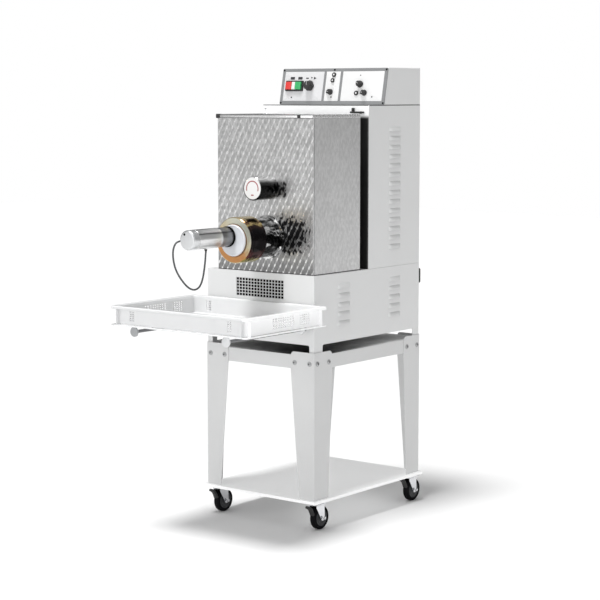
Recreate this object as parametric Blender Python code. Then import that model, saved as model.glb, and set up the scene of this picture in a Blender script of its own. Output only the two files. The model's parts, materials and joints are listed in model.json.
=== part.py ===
"""Extruding dough machine on a castor stand: hopper with mixing paddle, auger, die, cutter and catch tray.

Metres, +Z up. X runs along the front, -Y is the front. The pieces are laid out from the centre of the stand's
footprint, and the empty "machine" carries them so that the whole object's box is centred on the origin in X
and Y and stands on z = 0.
"""

import math

import bmesh
import bpy
from mathutils import Matrix, Vector

# Clearance between pieces that touch, and the thickness of the sheet metal
GAP = 0.0003
SHEET = 0.002
# How far a cutter reaches past the face that it opens
PAST = 0.01

# Stand
SHELF_X, SHELF_Y = 0.2435, 0.3175
SHELF_TOP = 0.106
SHELF_EDGE = 0.010
LEG_X, LEG_Y = 0.234, 0.3085
LEG_TOP = 0.603
BEAM_LOW, BEAM_HIGH = 0.545, 0.592
BEAM_FLANGE = 0.017
# Height, width of the front face and width of the side face of a leg, from the shelf up
LEG_BEVEL = 0.011
LEG_STATIONS = (
    (SHELF_TOP + GAP, 0.062, 0.080),
    (BEAM_LOW, 0.098, 0.099),
    (LEG_TOP - LEG_BEVEL, 0.098, 0.099),
    (LEG_TOP, 0.090, 0.091),
)

# Castors
WHEEL_R = 0.040
WHEEL_HALF = 0.012
SWIVEL_X, SWIVEL_Y = 0.212, 0.272
TRAIL = 0.022
PLATE_HALF = 0.030
PLATE_LOW = 0.0925
FORK_TOP = PLATE_LOW - GAP
CROWN_TOP = 0.0885
CROWN_LOW = 0.0845
CROWN_FRONT, CROWN_BACK = -0.0135, 0.030
CHEEK_IN, CHEEK_OUT = 0.0137, 0.0158
CHEEK_END_R = 0.010
RACE_R, AXLE_R = 0.022, 0.0041
PEDAL_PIVOT = (-0.018, 0.081)
PEDAL_HALF = 0.0085

# Cabinet
CAB_X, CAB_Y = 0.231, 0.304
FOOT_Z = BEAM_HIGH + SHEET + 2 * GAP
FLOOR_Z = 0.627
BASE_TOP = 0.858
# Half width of the cut-outs under the base: front and rear, and the left and right side from front to back
FOOT_CUT_X, FOOT_CUT_FRONT, FOOT_CUT_BACK = 0.211, 0.258, 0.267
FOOT_CUT_R = 0.006
COLUMN_Y = -0.002
COLUMN_TOP = 1.4145
CONSOLE_LEFT = -0.227
CONSOLE_TOP = 1.542
CONSOLE_FRONT = 0.085
CONSOLE_LEAN = 0.025
FASCIA_THICK = 0.0030

# Rear terminal box
TERMINAL_LOW, TERMINAL_HIGH = (0.176, 0.785), (0.228, 0.838)
TERMINAL_DEEP = 0.013
GLAND_R, GLAND_LOW = 0.0055, 0.770

# Hopper
HOP_LEFT, HOP_RIGHT = -0.187, 0.224
HOP_FRONT, HOP_BACK = -0.299, -0.040
HOP_TOP = 1.372
LID_TOP = 1.3845
AXIS_X = 0.030
AUGER_Z = 0.977
PADDLE_Z = 1.142
BOWL_R = 0.1195
SHAFT_R = 0.0125
THROAT_X = 0.022
THROAT_FRONT, THROAT_BACK = -0.265, -0.085
FLARE = 0.110
SWITCH_X = (0.159, 0.212)
SWITCH_LOW, SWITCH_HIGH, SWITCH_DEEP = 1.3870, 1.3930, 0.012
SWITCH_STUB_X, SWITCH_STUB_TOP, SWITCH_STUB_R = 0.169, 1.405, 0.0055

# Drive inside the cabinet, about an upright axis at DRIVE_Y
DRIVE_Y = 0.125
GEARBOX_HALF, GEARBOX_TOP = 0.075, 1.052
DRIVE_MOTOR_R, DRIVE_MOTOR_TALL = 0.072, 0.196
SHAFT_HOLE_R = 0.020
SHAFT_END = -0.0445
PADDLE_ARMS, PADDLE_ARM_R = 5, 0.006

# Extruder head, as distances in front of y = 0
BARREL_R, BORE_R, BARREL_END = 0.045, 0.034, 0.0385
COLLAR_R, BARREL_FLANGE_R = 0.066, 0.072
NOSE_R, NOSE_END = 0.060, 0.455
LIP_R, LIP_BACK = 0.0535, 0.4675
DIE_R, DIE_FRONT = 0.0595, 0.4706
BLADE_BACK, BLADE_FRONT = 0.4710, 0.4730
DISC_BACK, DISC_FRONT, CUTTER_DISC_R = 0.4733, 0.4813, 0.052
AUGER_CORE_R, AUGER_FIN_R = 0.014, 0.0318
AUGER_PITCH, AUGER_START, AUGER_FRONT = 0.060, 0.0605, 0.440
NUT_R = 0.076
NUT_BACK, NUT_FRONT = 0.3925, 0.472
MOTOR_X, MOTOR_Z, MOTOR_R = 0.011, 0.989, 0.0325
MOTOR_BACK, MOTOR_FRONT, CAP_FRONT = 0.4816, 0.651, 0.681
KNOB_R, KNOB_FRONT = 0.040, 0.378

# Gears: module, teeth and backlash
MODULE = 0.006
AUGER_TEETH, PADDLE_TEETH = 18, 37
BACKLASH = 0.0004
GEAR_FRONT, GEAR_BACK = 0.015, 0.035

# Blower behind the grille
GRILLE_X, GRILLE_LOW, GRILLE_HIGH = 0.103, 0.773, 0.836
GRILLE_COLUMNS, GRILLE_ROWS = 16, 6
GRILLE_BAR = 0.0024
BLOWER_Y, BLOWER_Z, BLOWER_R = -0.262, 0.8045, 0.026
BLOWER_HALF, BLOWER_HUB_R = 0.088, 0.007
SCROLL_HALF, SCROLL_IN, SCROLL_OUT = 0.092, 0.004, 0.0055

# Tray and its support rods
TRAY_X = 0.291
TRAY_FRONT, TRAY_BACK = -0.724, -0.310
TRAY_LOW, TRAY_HIGH = 0.6988, 0.7635
TRAY_RIM = 0.015
ROD_X, ROD_Z, ROD_R = 0.196, 0.682, 0.0055
ROD_FRONT, ROD_COLLAR = 0.712, 0.330
DISC_R, DISC_THICK = 0.0165, 0.006

CASTOR_REAR = SWIVEL_Y + TRAIL + WHEEL_R
MACHINE_Y = -(TRAY_FRONT + CASTOR_REAR) / 2

# Route of the cutter motor's lead, from its gland in the cap to the tube's underside
LEAD_R = 0.003
LEAD_POINTS = (
    (-0.0243, -0.668, 0.9850),
    (-0.0263, -0.668, 0.9850),
    (-0.0283, -0.668, 0.9850),
    (-0.0345, -0.683, 0.9780),
    (-0.0345, -0.696, 0.9560),
    (-0.0310, -0.699, 0.9250),
    (-0.0260, -0.692, 0.8920),
    (-0.0190, -0.673, 0.8590),
    (-0.0110, -0.650, 0.8340),
    (-0.0050, -0.630, 0.8260),
    (0.0010, -0.613, 0.8330),
    (0.0060, -0.602, 0.8570),
    (0.0095, -0.594, 0.9040),
    (0.0110, -0.590, 0.9482),
    (0.0110, -0.590, 0.9502),
    (0.0110, -0.590, 0.9522),
)

COLOURS = {
    "white_paint": ((0.86, 0.87, 0.87), 0.40, 0.0),
    "light_grey_paint": ((0.62, 0.63, 0.63), 0.45, 0.0),
    "pearl_steel": ((0.60, 0.60, 0.60), 0.28, 1.0),
    "stainless": ((0.66, 0.66, 0.66), 0.25, 1.0),
    "brass": ((0.78, 0.62, 0.36), 0.22, 1.0),
    "bronze": ((0.72, 0.45, 0.27), 0.30, 1.0),
    "aluminium": ((0.70, 0.71, 0.72), 0.30, 1.0),
    "cast_iron": ((0.22, 0.23, 0.24), 0.60, 0.5),
    "white_plastic": ((0.92, 0.92, 0.91), 0.35, 0.0),
    "black_plastic": ((0.03, 0.03, 0.03), 0.40, 0.0),
    "red_plastic": ((0.75, 0.06, 0.05), 0.35, 0.0),
    "green_plastic": ((0.05, 0.45, 0.15), 0.35, 0.0),
    "zinc": ((0.72, 0.73, 0.75), 0.32, 1.0),
    "tyre": ((0.04, 0.04, 0.04), 0.65, 0.0),
    "lead": ((0.30, 0.31, 0.32), 0.50, 0.0),
}


def clear_scene():
    """Removes the startup scene's objects."""
    for obj in list(bpy.data.objects):
        bpy.data.objects.remove(obj, do_unlink=True)


def material(name):
    """The Principled material of that name, made once."""
    made = bpy.data.materials.get(name)
    if made:
        return made
    made = bpy.data.materials.new(name)
    made.use_nodes = True
    colour, roughness, metallic = COLOURS[name]
    shader = made.node_tree.nodes["Principled BSDF"]
    shader.inputs["Base Color"].default_value = (*colour, 1.0)
    shader.inputs["Roughness"].default_value = roughness
    shader.inputs["Metallic"].default_value = metallic
    return made


# Meshes


def add_box(bm, low, high):
    """Adds a box between two corners to bm."""
    low, high = Vector(low), Vector(high)
    size = Matrix.Diagonal((*(high - low), 1.0))
    bmesh.ops.create_cube(bm, size=1.0, matrix=Matrix.Translation((low + high) / 2) @ size)


def boxes(*corners):
    """Separate boxes in one mesh, each given by its low and high corner."""
    bm = bmesh.new()
    for low, high in corners:
        add_box(bm, low, high)
    return bm


def add_prism(bm, outline, axis, start, end):
    """Adds an outline pushed along an axis. Its two values are the other two axes, in X, Y, Z order."""
    rings = []
    for level in (start, end):
        ring = []
        for point in outline:
            place = list(point)
            place.insert("XYZ".index(axis), level)
            ring.append(bm.verts.new(place))
        rings.append(ring)
    close_loft(bm, rings)


def prism(outline, axis, start, end):
    """A solid with one outline, pushed along an axis."""
    bm = bmesh.new()
    add_prism(bm, outline, axis, start, end)
    return bm


def close_loft(bm, rings):
    """Joins rings of equally many vertices with quads, and caps the first and the last."""
    count = len(rings[0])
    faces = [bm.faces.new(rings[0]), bm.faces.new(rings[-1])]
    for near, far in zip(rings, rings[1:]):
        for i in range(count):
            j = (i + 1) % count
            faces.append(bm.faces.new((near[i], near[j], far[j], far[i])))
    bmesh.ops.recalc_face_normals(bm, faces=faces)


def loft(rings):
    """A closed solid through rings of points."""
    bm = bmesh.new()
    close_loft(bm, [[bm.verts.new(point) for point in ring] for ring in rings])
    return bm


def turned(profile, steps, closed=False):
    """A profile of (radius, height) points spun about Z. A closed profile makes a ring, and an open one starts
    and ends on the axis."""
    bm = bmesh.new()
    points = [bm.verts.new((radius, 0.0, height)) for radius, height in profile]
    geom = points + [bm.edges.new(pair) for pair in zip(points, points[1:])]
    if closed:
        geom.append(bm.edges.new((points[-1], points[0])))
    axis, turn = (0, 0, 1), 2 * math.pi
    bmesh.ops.spin(bm, geom=geom, axis=axis, cent=(0, 0, 0), angle=turn, steps=steps, use_merge=True)
    bmesh.ops.remove_doubles(bm, verts=bm.verts, dist=1e-6)
    bmesh.ops.recalc_face_normals(bm, faces=bm.faces)
    return bm


def rod(radius, start, end, steps=16):
    """A cylinder between two points."""
    start, end = Vector(start), Vector(end)
    along = end - start
    bm = bmesh.new()
    place = Matrix.Translation((start + end) / 2) @ along.to_track_quat("Z", "Y").to_matrix().to_4x4()
    bmesh.ops.create_cone(
        bm, cap_ends=True, segments=steps, radius1=radius, radius2=radius, depth=along.length, matrix=place
    )
    return bm


def rounded(low, high, radius, corner_steps=4):
    """The outline of a rectangle with round corners, as (u, v) points."""
    points = []
    centres = (
        (high[0] - radius, high[1] - radius),
        (low[0] + radius, high[1] - radius),
        (low[0] + radius, low[1] + radius),
        (high[0] - radius, low[1] + radius),
    )
    for quarter, (u, v) in enumerate(centres):
        for step in range(corner_steps + 1):
            angle = math.pi / 2 * (quarter + step / corner_steps)
            points.append((u + radius * math.cos(angle), v + radius * math.sin(angle)))
    return points


# Objects

# The empty that carries every piece
machine = None


def make(name, bm, finish, pivot=(0, 0, 0), turn=(0, 0, 0), parent=None, smooth=None):
    """An object whose mesh is laid out from its pivot. Edges under smooth, in degrees, are soft."""
    mesh = bpy.data.meshes.new(name)
    bm.to_mesh(mesh)
    bm.free()
    return place(name, mesh, finish, pivot, turn, parent, smooth)


def place(name, data, finish, pivot=(0, 0, 0), turn=(0, 0, 0), parent=None, smooth=None):
    """An object that shows a mesh, under the machine unless it has another parent."""
    if smooth is not None:
        data.shade_smooth()
        data.set_sharp_from_angle(angle=math.radians(smooth))
    obj = bpy.data.objects.new(name, data)
    bpy.context.scene.collection.objects.link(obj)
    if finish and not data.materials:
        data.materials.append(material(finish))
    obj.parent = parent or machine
    obj.location = pivot
    obj.rotation_euler = turn
    return obj


def boolean(obj, bm, operation):
    """Applies a helper mesh to obj with a Boolean. The helper shares obj's pivot and isn't a node."""
    name = f"{obj.name}_{operation.lower()}_{len(obj.modifiers)}"
    helper = make(name, bm, None, obj.location, obj.rotation_euler, obj.parent)
    helper.hide_render = True
    modifier = obj.modifiers.new(operation.lower(), "BOOLEAN")
    modifier.operation = operation
    modifier.solver = "EXACT"
    modifier.object = helper


def cut(obj, bm):
    """Takes a mesh away from obj."""
    boolean(obj, bm, "DIFFERENCE")


def join(obj, bm):
    """Adds a mesh to obj."""
    boolean(obj, bm, "UNION")


# Turns a piece laid out along +Z to point forward
FORWARD = (math.pi / 2, 0, 0)


# Stand


def build_shelf():
    """A pan hollow from below, solid over its corners, with a castor plate under each."""
    rim = SHELF_TOP - SHELF_EDGE
    obj = make("bottom_shelf", boxes(((-SHELF_X, -SHELF_Y, rim), (SHELF_X, SHELF_Y, SHELF_TOP))), "white_paint")
    under, low = SHELF_TOP - SHEET, rim - PAST
    corner = PLATE_HALF + 0.005
    inner_x, inner_y = SWIVEL_X - corner, SWIVEL_Y - corner
    cut(obj, boxes(((-inner_x, -SHELF_Y + SHEET, low), (inner_x, SHELF_Y - SHEET, under))))
    cut(obj, boxes(((-SHELF_X + SHEET, -inner_y, low), (SHELF_X - SHEET, inner_y, under))))
    plates = []
    for x in (-SWIVEL_X, SWIVEL_X):
        for y in (-SWIVEL_Y, SWIVEL_Y):
            near = (x - PLATE_HALF, y - PLATE_HALF, PLATE_LOW)
            plates.append((near, (x + PLATE_HALF, y + PLATE_HALF, rim + 0.001)))
    join(obj, boxes(*plates))


def build_leg(name, side, end):
    """An angle of folded sheet that narrows towards the shelf."""
    rings = []
    for height, front, flank in LEG_STATIONS:
        corner = ((0, 0), (front, 0), (front, SHEET), (SHEET, SHEET), (SHEET, flank), (0, flank))
        rings.append([(side * (LEG_X - u), end * (LEG_Y - v), height) for u, v in corner])
    make(name, loft(rings), "white_paint")


def channel(face, inward):
    """The outline of a beam: a web behind the legs' faces and two flanges turned inward."""
    web, lip = face + inward * SHEET, face + inward * BEAM_FLANGE
    return (
        (face, BEAM_LOW),
        (lip, BEAM_LOW),
        (lip, BEAM_LOW + SHEET),
        (web, BEAM_LOW + SHEET),
        (web, BEAM_HIGH - SHEET),
        (lip, BEAM_HIGH - SHEET),
        (lip, BEAM_HIGH),
        (face, BEAM_HIGH),
    )


def build_beams():
    """Four beams between the legs, and the plate that lies on them."""
    reach_x = LEG_X - SHEET - GAP
    face_y = LEG_Y - SHEET - GAP
    for name, end in (("beam_front", -1), ("beam_rear", 1)):
        make(name, prism(channel(end * face_y, -end), "X", -reach_x, reach_x), "white_paint")
    reach_y = face_y - BEAM_FLANGE - GAP
    for name, side in (("beam_left", -1), ("beam_right", 1)):
        make(name, prism(channel(side * reach_x, -side), "Y", -reach_y, reach_y), "white_paint")
    top = BEAM_HIGH + GAP
    make("stand_top", boxes(((-reach_x, -face_y, top), (reach_x, face_y, top + SHEET))), "light_grey_paint")


def cheek_outline():
    """The side of a cheek: wide under the crown, with a round end about the axle."""
    inset, top = 0.0002, CROWN_TOP - 0.001
    front = CROWN_FRONT + inset
    points = [(CROWN_BACK - inset, top), (front, top), (front, CROWN_LOW - 0.006)]
    for step in range(7):
        angle = math.radians(195 + 165 * step / 6)
        points.append((TRAIL + CHEEK_END_R * math.cos(angle), WHEEL_R + CHEEK_END_R * math.sin(angle)))
    return points


def build_fork(tag, x, y):
    """Crown, ball race, two cheeks and the axle, about the swivel axis."""
    crown = boxes(((-CHEEK_OUT, CROWN_FRONT, CROWN_LOW), (CHEEK_OUT, CROWN_BACK, CROWN_TOP)))
    fork = make(f"castor_fork_{tag}", crown, "zinc", (x, y, 0))
    for low in (-CHEEK_OUT, CHEEK_IN):
        join(fork, prism(cheek_outline(), "X", low, low + CHEEK_OUT - CHEEK_IN))
    join(fork, rod(RACE_R, (0, 0, CROWN_TOP - 0.001), (0, 0, FORK_TOP), 20))
    axle = CHEEK_IN + 0.001
    join(fork, rod(AXLE_R, (-axle, TRAIL, WHEEL_R), (axle, TRAIL, WHEEL_R), 12))
    return fork


def wheel_mesh():
    """Tyre and hub turned as one piece, about the axle along Z."""
    half, hub = WHEEL_HALF, WHEEL_HALF - 0.003
    right = [(0.0045, half), (0.0095, half), (0.0110, hub), (0.0280, hub), (0.0295, half - 0.001)]
    right += [(WHEEL_R - 0.004, half - 0.001), (WHEEL_R, half - 0.005)]
    profile = right + [(radius, -height) for radius, height in reversed(right)]
    return turned(profile, 24, closed=True)


def pedal_mesh():
    """The brake pedal, about its own pivot."""
    outline = ((-0.0145, 0.0865), (-0.034, 0.0855), (-0.047, 0.0720), (-0.048, 0.0520))
    outline += ((-0.041, 0.0500), (-0.036, 0.0640), (-0.026, 0.0745), (-0.0145, 0.0775))
    local = [(y - PEDAL_PIVOT[0], z - PEDAL_PIVOT[1]) for y, z in outline]
    return prism(local, "X", -PEDAL_HALF, PEDAL_HALF)


def build_castors():
    """Four braked castors. Each fork carries its wheel and its pedal."""
    axle, side_on = (0, TRAIL, WHEEL_R), (0, math.pi / 2, 0)
    for end, y in (("front", -SWIVEL_Y), ("rear", SWIVEL_Y)):
        for side, x in (("left", -SWIVEL_X), ("right", SWIVEL_X)):
            tag = f"{end}_{side}"
            fork = build_fork(tag, x, y)
            make(f"castor_wheel_{tag}", wheel_mesh(), "tyre", axle, side_on, fork, smooth=40)
            make(f"brake_pedal_{tag}", pedal_mesh(), "black_plastic", (0, *PEDAL_PIVOT), parent=fork)


def build_stand():
    """Shelf, legs, beams and castors."""
    build_shelf()
    for end, y in (("front", -1), ("rear", 1)):
        for side, x in (("left", -1), ("right", 1)):
            build_leg(f"leg_{end}_{side}", x, y)
    build_beams()
    build_castors()


# Cabinet


def build_base():
    """The lower housing, open at the back, with its foot, the grille's window and the drive's hole."""
    x, y = CAB_X, CAB_Y
    obj = make("base_housing", boxes(((-x, -y, FOOT_Z), (x, y, BASE_TOP))), "white_paint")
    inner_x, inner_y, open_back, below = x - SHEET, y - SHEET, y + PAST, FOOT_Z - PAST
    cut(obj, boxes(((-inner_x, -inner_y, FLOOR_Z + SHEET), (inner_x, open_back, BASE_TOP - SHEET))))
    cut(obj, boxes(((-inner_x, -inner_y, below), (inner_x, open_back, FLOOR_Z))))
    front = rounded((-FOOT_CUT_X, below), (FOOT_CUT_X, FLOOR_Z), FOOT_CUT_R)
    cut(obj, prism(front, "Y", -y - PAST, -y + PAST))
    side = rounded((-FOOT_CUT_FRONT, below), (FOOT_CUT_BACK, FLOOR_Z), FOOT_CUT_R)
    cut(obj, prism(side, "X", -x - PAST, x + PAST))
    foot, top = (AXIS_X, DRIVE_Y, BASE_TOP - PAST), (AXIS_X, DRIVE_Y, BASE_TOP + PAST)
    cut(obj, rod(DRIVE_MOTOR_R + 0.004, foot, top, 24))
    cut(obj, boxes(((-GRILLE_X, -y - PAST, GRILLE_LOW), (GRILLE_X, -y + PAST, GRILLE_HIGH))))


def build_column():
    """The upper housing, open below and at the back, and the cover behind both housings."""
    low = BASE_TOP + GAP
    obj = make("column_housing", boxes(((-CAB_X, COLUMN_Y, low), (CAB_X, CAB_Y, COLUMN_TOP))), "white_paint")
    inner_x, inner_top = CAB_X - SHEET, COLUMN_TOP - SHEET
    cut(obj, boxes(((-inner_x, COLUMN_Y + SHEET, low - PAST), (inner_x, CAB_Y + PAST, inner_top))))
    for height in (AUGER_Z, PADDLE_Z):
        cut(obj, rod(SHAFT_HOLE_R, (AXIS_X, COLUMN_Y - PAST, height), (AXIS_X, COLUMN_Y + PAST, height)))
    cover_y = CAB_Y + GAP
    low, high = (SHEET - CAB_X, FLOOR_Z + SHEET), (CAB_X - SHEET, COLUMN_TOP - SHEET)
    make("rear_cover", prism(rounded(low, high, 0.004, 2), "Y", cover_y, cover_y + SHEET), "white_paint")


def build_terminal_box():
    """The mains terminal box at the back, with the gland that its lead would leave by."""
    face = CAB_Y + SHEET + 2 * GAP
    outline = rounded(TERMINAL_LOW, TERMINAL_HIGH, 0.006, 3)
    obj = make("rear_terminal_box", prism(outline, "Y", face, face + TERMINAL_DEEP), "black_plastic")
    x, y = (TERMINAL_LOW[0] + TERMINAL_HIGH[0]) / 2, face + TERMINAL_DEEP / 2
    join(obj, rod(GLAND_R, (x, y, GLAND_LOW), (x, y, TERMINAL_LOW[1] + 0.005), 12))


def grille_mesh():
    """A flat lattice: a plate with rows and columns of square holes."""
    edges_x, edges_z = [], []
    for edges, low, high, count in (
        (edges_x, -GRILLE_X + GAP, GRILLE_X - GAP, GRILLE_COLUMNS),
        (edges_z, GRILLE_LOW + GAP, GRILLE_HIGH - GAP, GRILLE_ROWS),
    ):
        pitch = (high - low) / count
        edges.append(low)
        for i in range(count):
            start = low + i * pitch
            edges += [start + GRILLE_BAR / 2, start + pitch - GRILLE_BAR / 2]
        edges.append(high)
    bm = bmesh.new()
    layers = [
        [[bm.verts.new((x, y, z)) for z in edges_z] for x in edges_x]
        for y in (-CAB_Y + GAP, -CAB_Y + SHEET)
    ]
    last_i, last_j = len(edges_x) - 1, len(edges_z) - 1
    for i in range(last_i):
        for j in range(last_j):
            corners = ((i, j), (i + 1, j), (i + 1, j + 1), (i, j + 1))
            if not (i % 2 and j % 2):
                for layer in layers:
                    bm.faces.new([layer[a][b] for a, b in corners])
            for (a, b), (c, d) in zip(corners, corners[1:] + corners[:1]):
                outside = (a == c and a in (0, last_i)) or (b == d and b in (0, last_j))
                if outside or (i % 2 and j % 2):
                    bm.faces.new((layers[0][a][b], layers[0][c][d], layers[1][c][d], layers[1][a][b]))
    bmesh.ops.recalc_face_normals(bm, faces=bm.faces)
    return bm


def blower_outline():
    """Eight thin blades round a shaft."""
    points = []
    root, edge = 0.28, 0.04
    for blade in range(8):
        middle = blade * math.pi / 4
        for radius, off in ((BLOWER_HUB_R, -root), (BLOWER_R, -edge), (BLOWER_R, edge), (BLOWER_HUB_R, root)):
            points.append((radius * math.cos(middle + off), radius * math.sin(middle + off)))
    return points


def build_blower():
    """The grille, and behind it the blower in its scroll, with its motor on the right."""
    make("front_grille", grille_mesh(), "white_paint")
    wheel = prism(blower_outline(), "X", -BLOWER_HALF, BLOWER_HALF)
    make("blower_wheel", wheel, "aluminium", (0, BLOWER_Y, BLOWER_Z))
    outer, inner = [], []
    for step in range(13):
        angle = math.radians(100 - 200 * step / 12)
        for ring, radius in ((outer, BLOWER_R + SCROLL_OUT), (inner, BLOWER_R + SCROLL_IN)):
            ring.append((BLOWER_Y + radius * math.cos(angle), BLOWER_Z + radius * math.sin(angle)))
    shell = prism(outer + inner[::-1], "X", -SCROLL_HALF, SCROLL_HALF)
    scroll = make("blower_scroll", shell, "light_grey_paint")
    ends, thick = [], SCROLL_OUT - SCROLL_IN
    for x in (-SCROLL_HALF, SCROLL_HALF - thick):
        low = (x, BLOWER_Y - 0.030, BLOWER_Z - 0.032)
        ends.append((low, (x + thick, BLOWER_Y + 0.034, BLOWER_Z + 0.032)))
    join(scroll, boxes(*ends))
    join(scroll, rod(0.022, (SCROLL_HALF - 0.0005, BLOWER_Y, BLOWER_Z), (0.135, BLOWER_Y, BLOWER_Z), 20))


def build_cabinet():
    build_base()
    build_column()
    build_terminal_box()
    build_blower()


# Console


def fascia_frame():
    """The foot of the sloping face, the direction up it and its outward normal."""
    up = Vector((0, CONSOLE_LEAN, CONSOLE_TOP - COLUMN_TOP)).normalized()
    return Vector((0, CONSOLE_FRONT, COLUMN_TOP)), up, Vector((0, -up.z, up.y))


def on_fascia(x, height, out):
    """A point at a height up the sloping face and a distance out of it."""
    foot, up, normal = fascia_frame()
    return Vector((x, 0, 0)) + foot + height * up + out * normal


def wedge(shrink, low):
    """The console's side outline, drawn in by a distance."""
    _, up, normal = fascia_frame()
    depth = FASCIA_THICK + GAP + shrink
    foot = on_fascia(0, 0, 0) - depth * normal
    high = CONSOLE_TOP - shrink
    slope = up.y / up.z
    bottom = foot.y + (low - foot.z) * slope
    top = foot.y + (high - foot.z) * slope
    return ((bottom, low), (CAB_Y - shrink, low), (CAB_Y - shrink, high), (top, high))


def knob_profile(radius, height):
    """A round knob with a bevelled front edge and a skirt."""
    return (
        (0, 0),
        (radius, 0),
        (radius, height * 0.25),
        (radius * 0.88, height * 0.32),
        (radius * 0.84, height * 0.92),
        (radius * 0.76, height),
        (0, height),
    )


def build_console():
    """The console's housing, its sloping face, and the switch, buttons and knobs on it."""
    low = COLUMN_TOP + GAP
    obj = make("console_housing", prism(wedge(0, low), "X", CONSOLE_LEFT, CAB_X), "white_paint")
    cut(obj, prism(wedge(SHEET, low - PAST), "X", CONSOLE_LEFT + SHEET, CAB_X - SHEET))
    tilt = (math.atan2(CONSOLE_TOP - COLUMN_TOP, CONSOLE_LEAN), 0, 0)
    length = math.hypot(CONSOLE_TOP - COLUMN_TOP, CONSOLE_LEAN)

    def on_face(name, bm, finish, x, height, out, smooth=None):
        return make(name, bm, finish, on_fascia(x, height, out), tilt, smooth=smooth)

    half = (CAB_X - CONSOLE_LEFT) / 2
    middle = (CAB_X + CONSOLE_LEFT) / 2
    plate = prism(rounded((-half, 0.001), (half, length - 0.001), 0.004, 2), "Z", -FASCIA_THICK, 0)
    on_face("console_fascia", plate, "light_grey_paint", middle, 0, 0)
    frame = prism(rounded((-0.039, -0.0185), (0.039, 0.0185), 0.003, 2), "Z", GAP, 0.006)
    frame = on_face("switch_frame", frame, "black_plastic", -0.166, 0.0665, 0)
    cut(frame, boxes(((-0.0345, -0.0145, 0.002), (0.0345, 0.0145, 0.01))))
    for name, x, finish in (("stop_button", -0.187, "red_plastic"), ("start_button", -0.145, "green_plastic")):
        button = prism(rounded((-0.0125, -0.0135), (0.0125, 0.0135), 0.002, 2), "Z", 0, 0.0065)
        on_face(name, button, finish, x, 0.0665, 0.0058)
    for name, x, height, radius, tall in (
        ("mode_selector", -0.0985, 0.0665, 0.0185, 0.022),
        ("speed_knob", -0.0045, 0.0450, 0.0105, 0.014),
        ("timer_knob", 0.121, 0.0725, 0.0125, 0.016),
        ("blower_knob", 0.1425, 0.0420, 0.0105, 0.014),
    ):
        knob = turned(knob_profile(radius, tall), 20)
        on_face(name, knob, "black_plastic", x, height, GAP, 35)


# Hopper


def through_hopper(radius, height, steps):
    """A helper rod from front to back through the hopper, on the axis at that height."""
    return rod(radius, (AXIS_X, HOP_FRONT - PAST, height), (AXIS_X, HOP_BACK + PAST, height), steps)


def build_hopper():
    """The hopper's housing, with the barrel's and the paddle's holes, and the bowl and lid."""
    low = BASE_TOP + GAP
    shell = boxes(((HOP_LEFT, HOP_FRONT, low), (HOP_RIGHT, HOP_BACK, HOP_TOP)))
    obj = make("hopper_housing", shell, "pearl_steel")
    inside_low = (HOP_LEFT + SHEET, HOP_FRONT + SHEET, low - PAST)
    cut(obj, boxes((inside_low, (HOP_RIGHT - SHEET, HOP_BACK - SHEET, HOP_TOP + PAST))))
    cut(obj, through_hopper(BARREL_R + 2 * GAP, AUGER_Z, 40))
    cut(obj, through_hopper(SHAFT_R + 0.0025, PADDLE_Z, 16))
    build_bowl()
    build_lid()


def bowl_outline(thick, top):
    """A round trough about the paddle's axis whose walls flare out to the housing."""
    radius = BOWL_R - thick
    left, right = HOP_LEFT + SHEET + GAP + thick, HOP_RIGHT - SHEET - GAP - thick
    points = [(right, top), (left, top), (left, PADDLE_Z + FLARE)]
    for step in range(13):
        angle = math.radians(180 + 180 * step / 12)
        points.append((AXIS_X + radius * math.cos(angle), PADDLE_Z + radius * math.sin(angle)))
    points.append((right, PADDLE_Z + FLARE))
    return points


def build_bowl():
    """The bowl, with holes for the paddle's shaft and the throat over the auger."""
    front, back = HOP_FRONT + SHEET + GAP, HOP_BACK - SHEET - GAP
    top = HOP_TOP - 0.0025
    obj = make("mixing_bowl", prism(bowl_outline(0, top), "Y", front, back), "stainless")
    cut(obj, prism(bowl_outline(SHEET, top + 0.02), "Y", front + SHEET, back - SHEET))
    cut(obj, through_hopper(SHAFT_R + 2 * GAP, PADDLE_Z, 16))
    cut(obj, boxes(((AXIS_X - THROAT_X, THROAT_FRONT, 1.0), (AXIS_X + THROAT_X, THROAT_BACK, 1.06))))


def build_lid():
    """The lid about its hinge line, and the switch behind it that senses it."""
    low = HOP_TOP + GAP
    hinge_y = HOP_BACK + 0.0015
    pivot = Vector((0, hinge_y, HOP_TOP))
    corner_low, corner_high = Vector((HOP_LEFT, HOP_FRONT, low)), Vector((HOP_RIGHT, HOP_BACK, LID_TOP))
    obj = make("lid", boxes((corner_low - pivot, corner_high - pivot)), "stainless", pivot)
    inset = Vector((SHEET, SHEET, -PAST))
    cut(obj, boxes((corner_low - pivot + inset, corner_high - pivot - Vector((SHEET, SHEET, SHEET)))))
    back = COLUMN_Y - GAP
    front, middle = back - SWITCH_DEEP, back - SWITCH_DEEP / 2
    base = boxes(((SWITCH_X[0], front, SWITCH_LOW), (SWITCH_X[1], back, SWITCH_HIGH)))
    switch = make("lid_switch", base, "black_plastic")
    foot, top = (SWITCH_STUB_X, middle, SWITCH_HIGH - 0.001), (SWITCH_STUB_X, middle, SWITCH_STUB_TOP)
    join(switch, rod(SWITCH_STUB_R, foot, top, 12))


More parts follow.
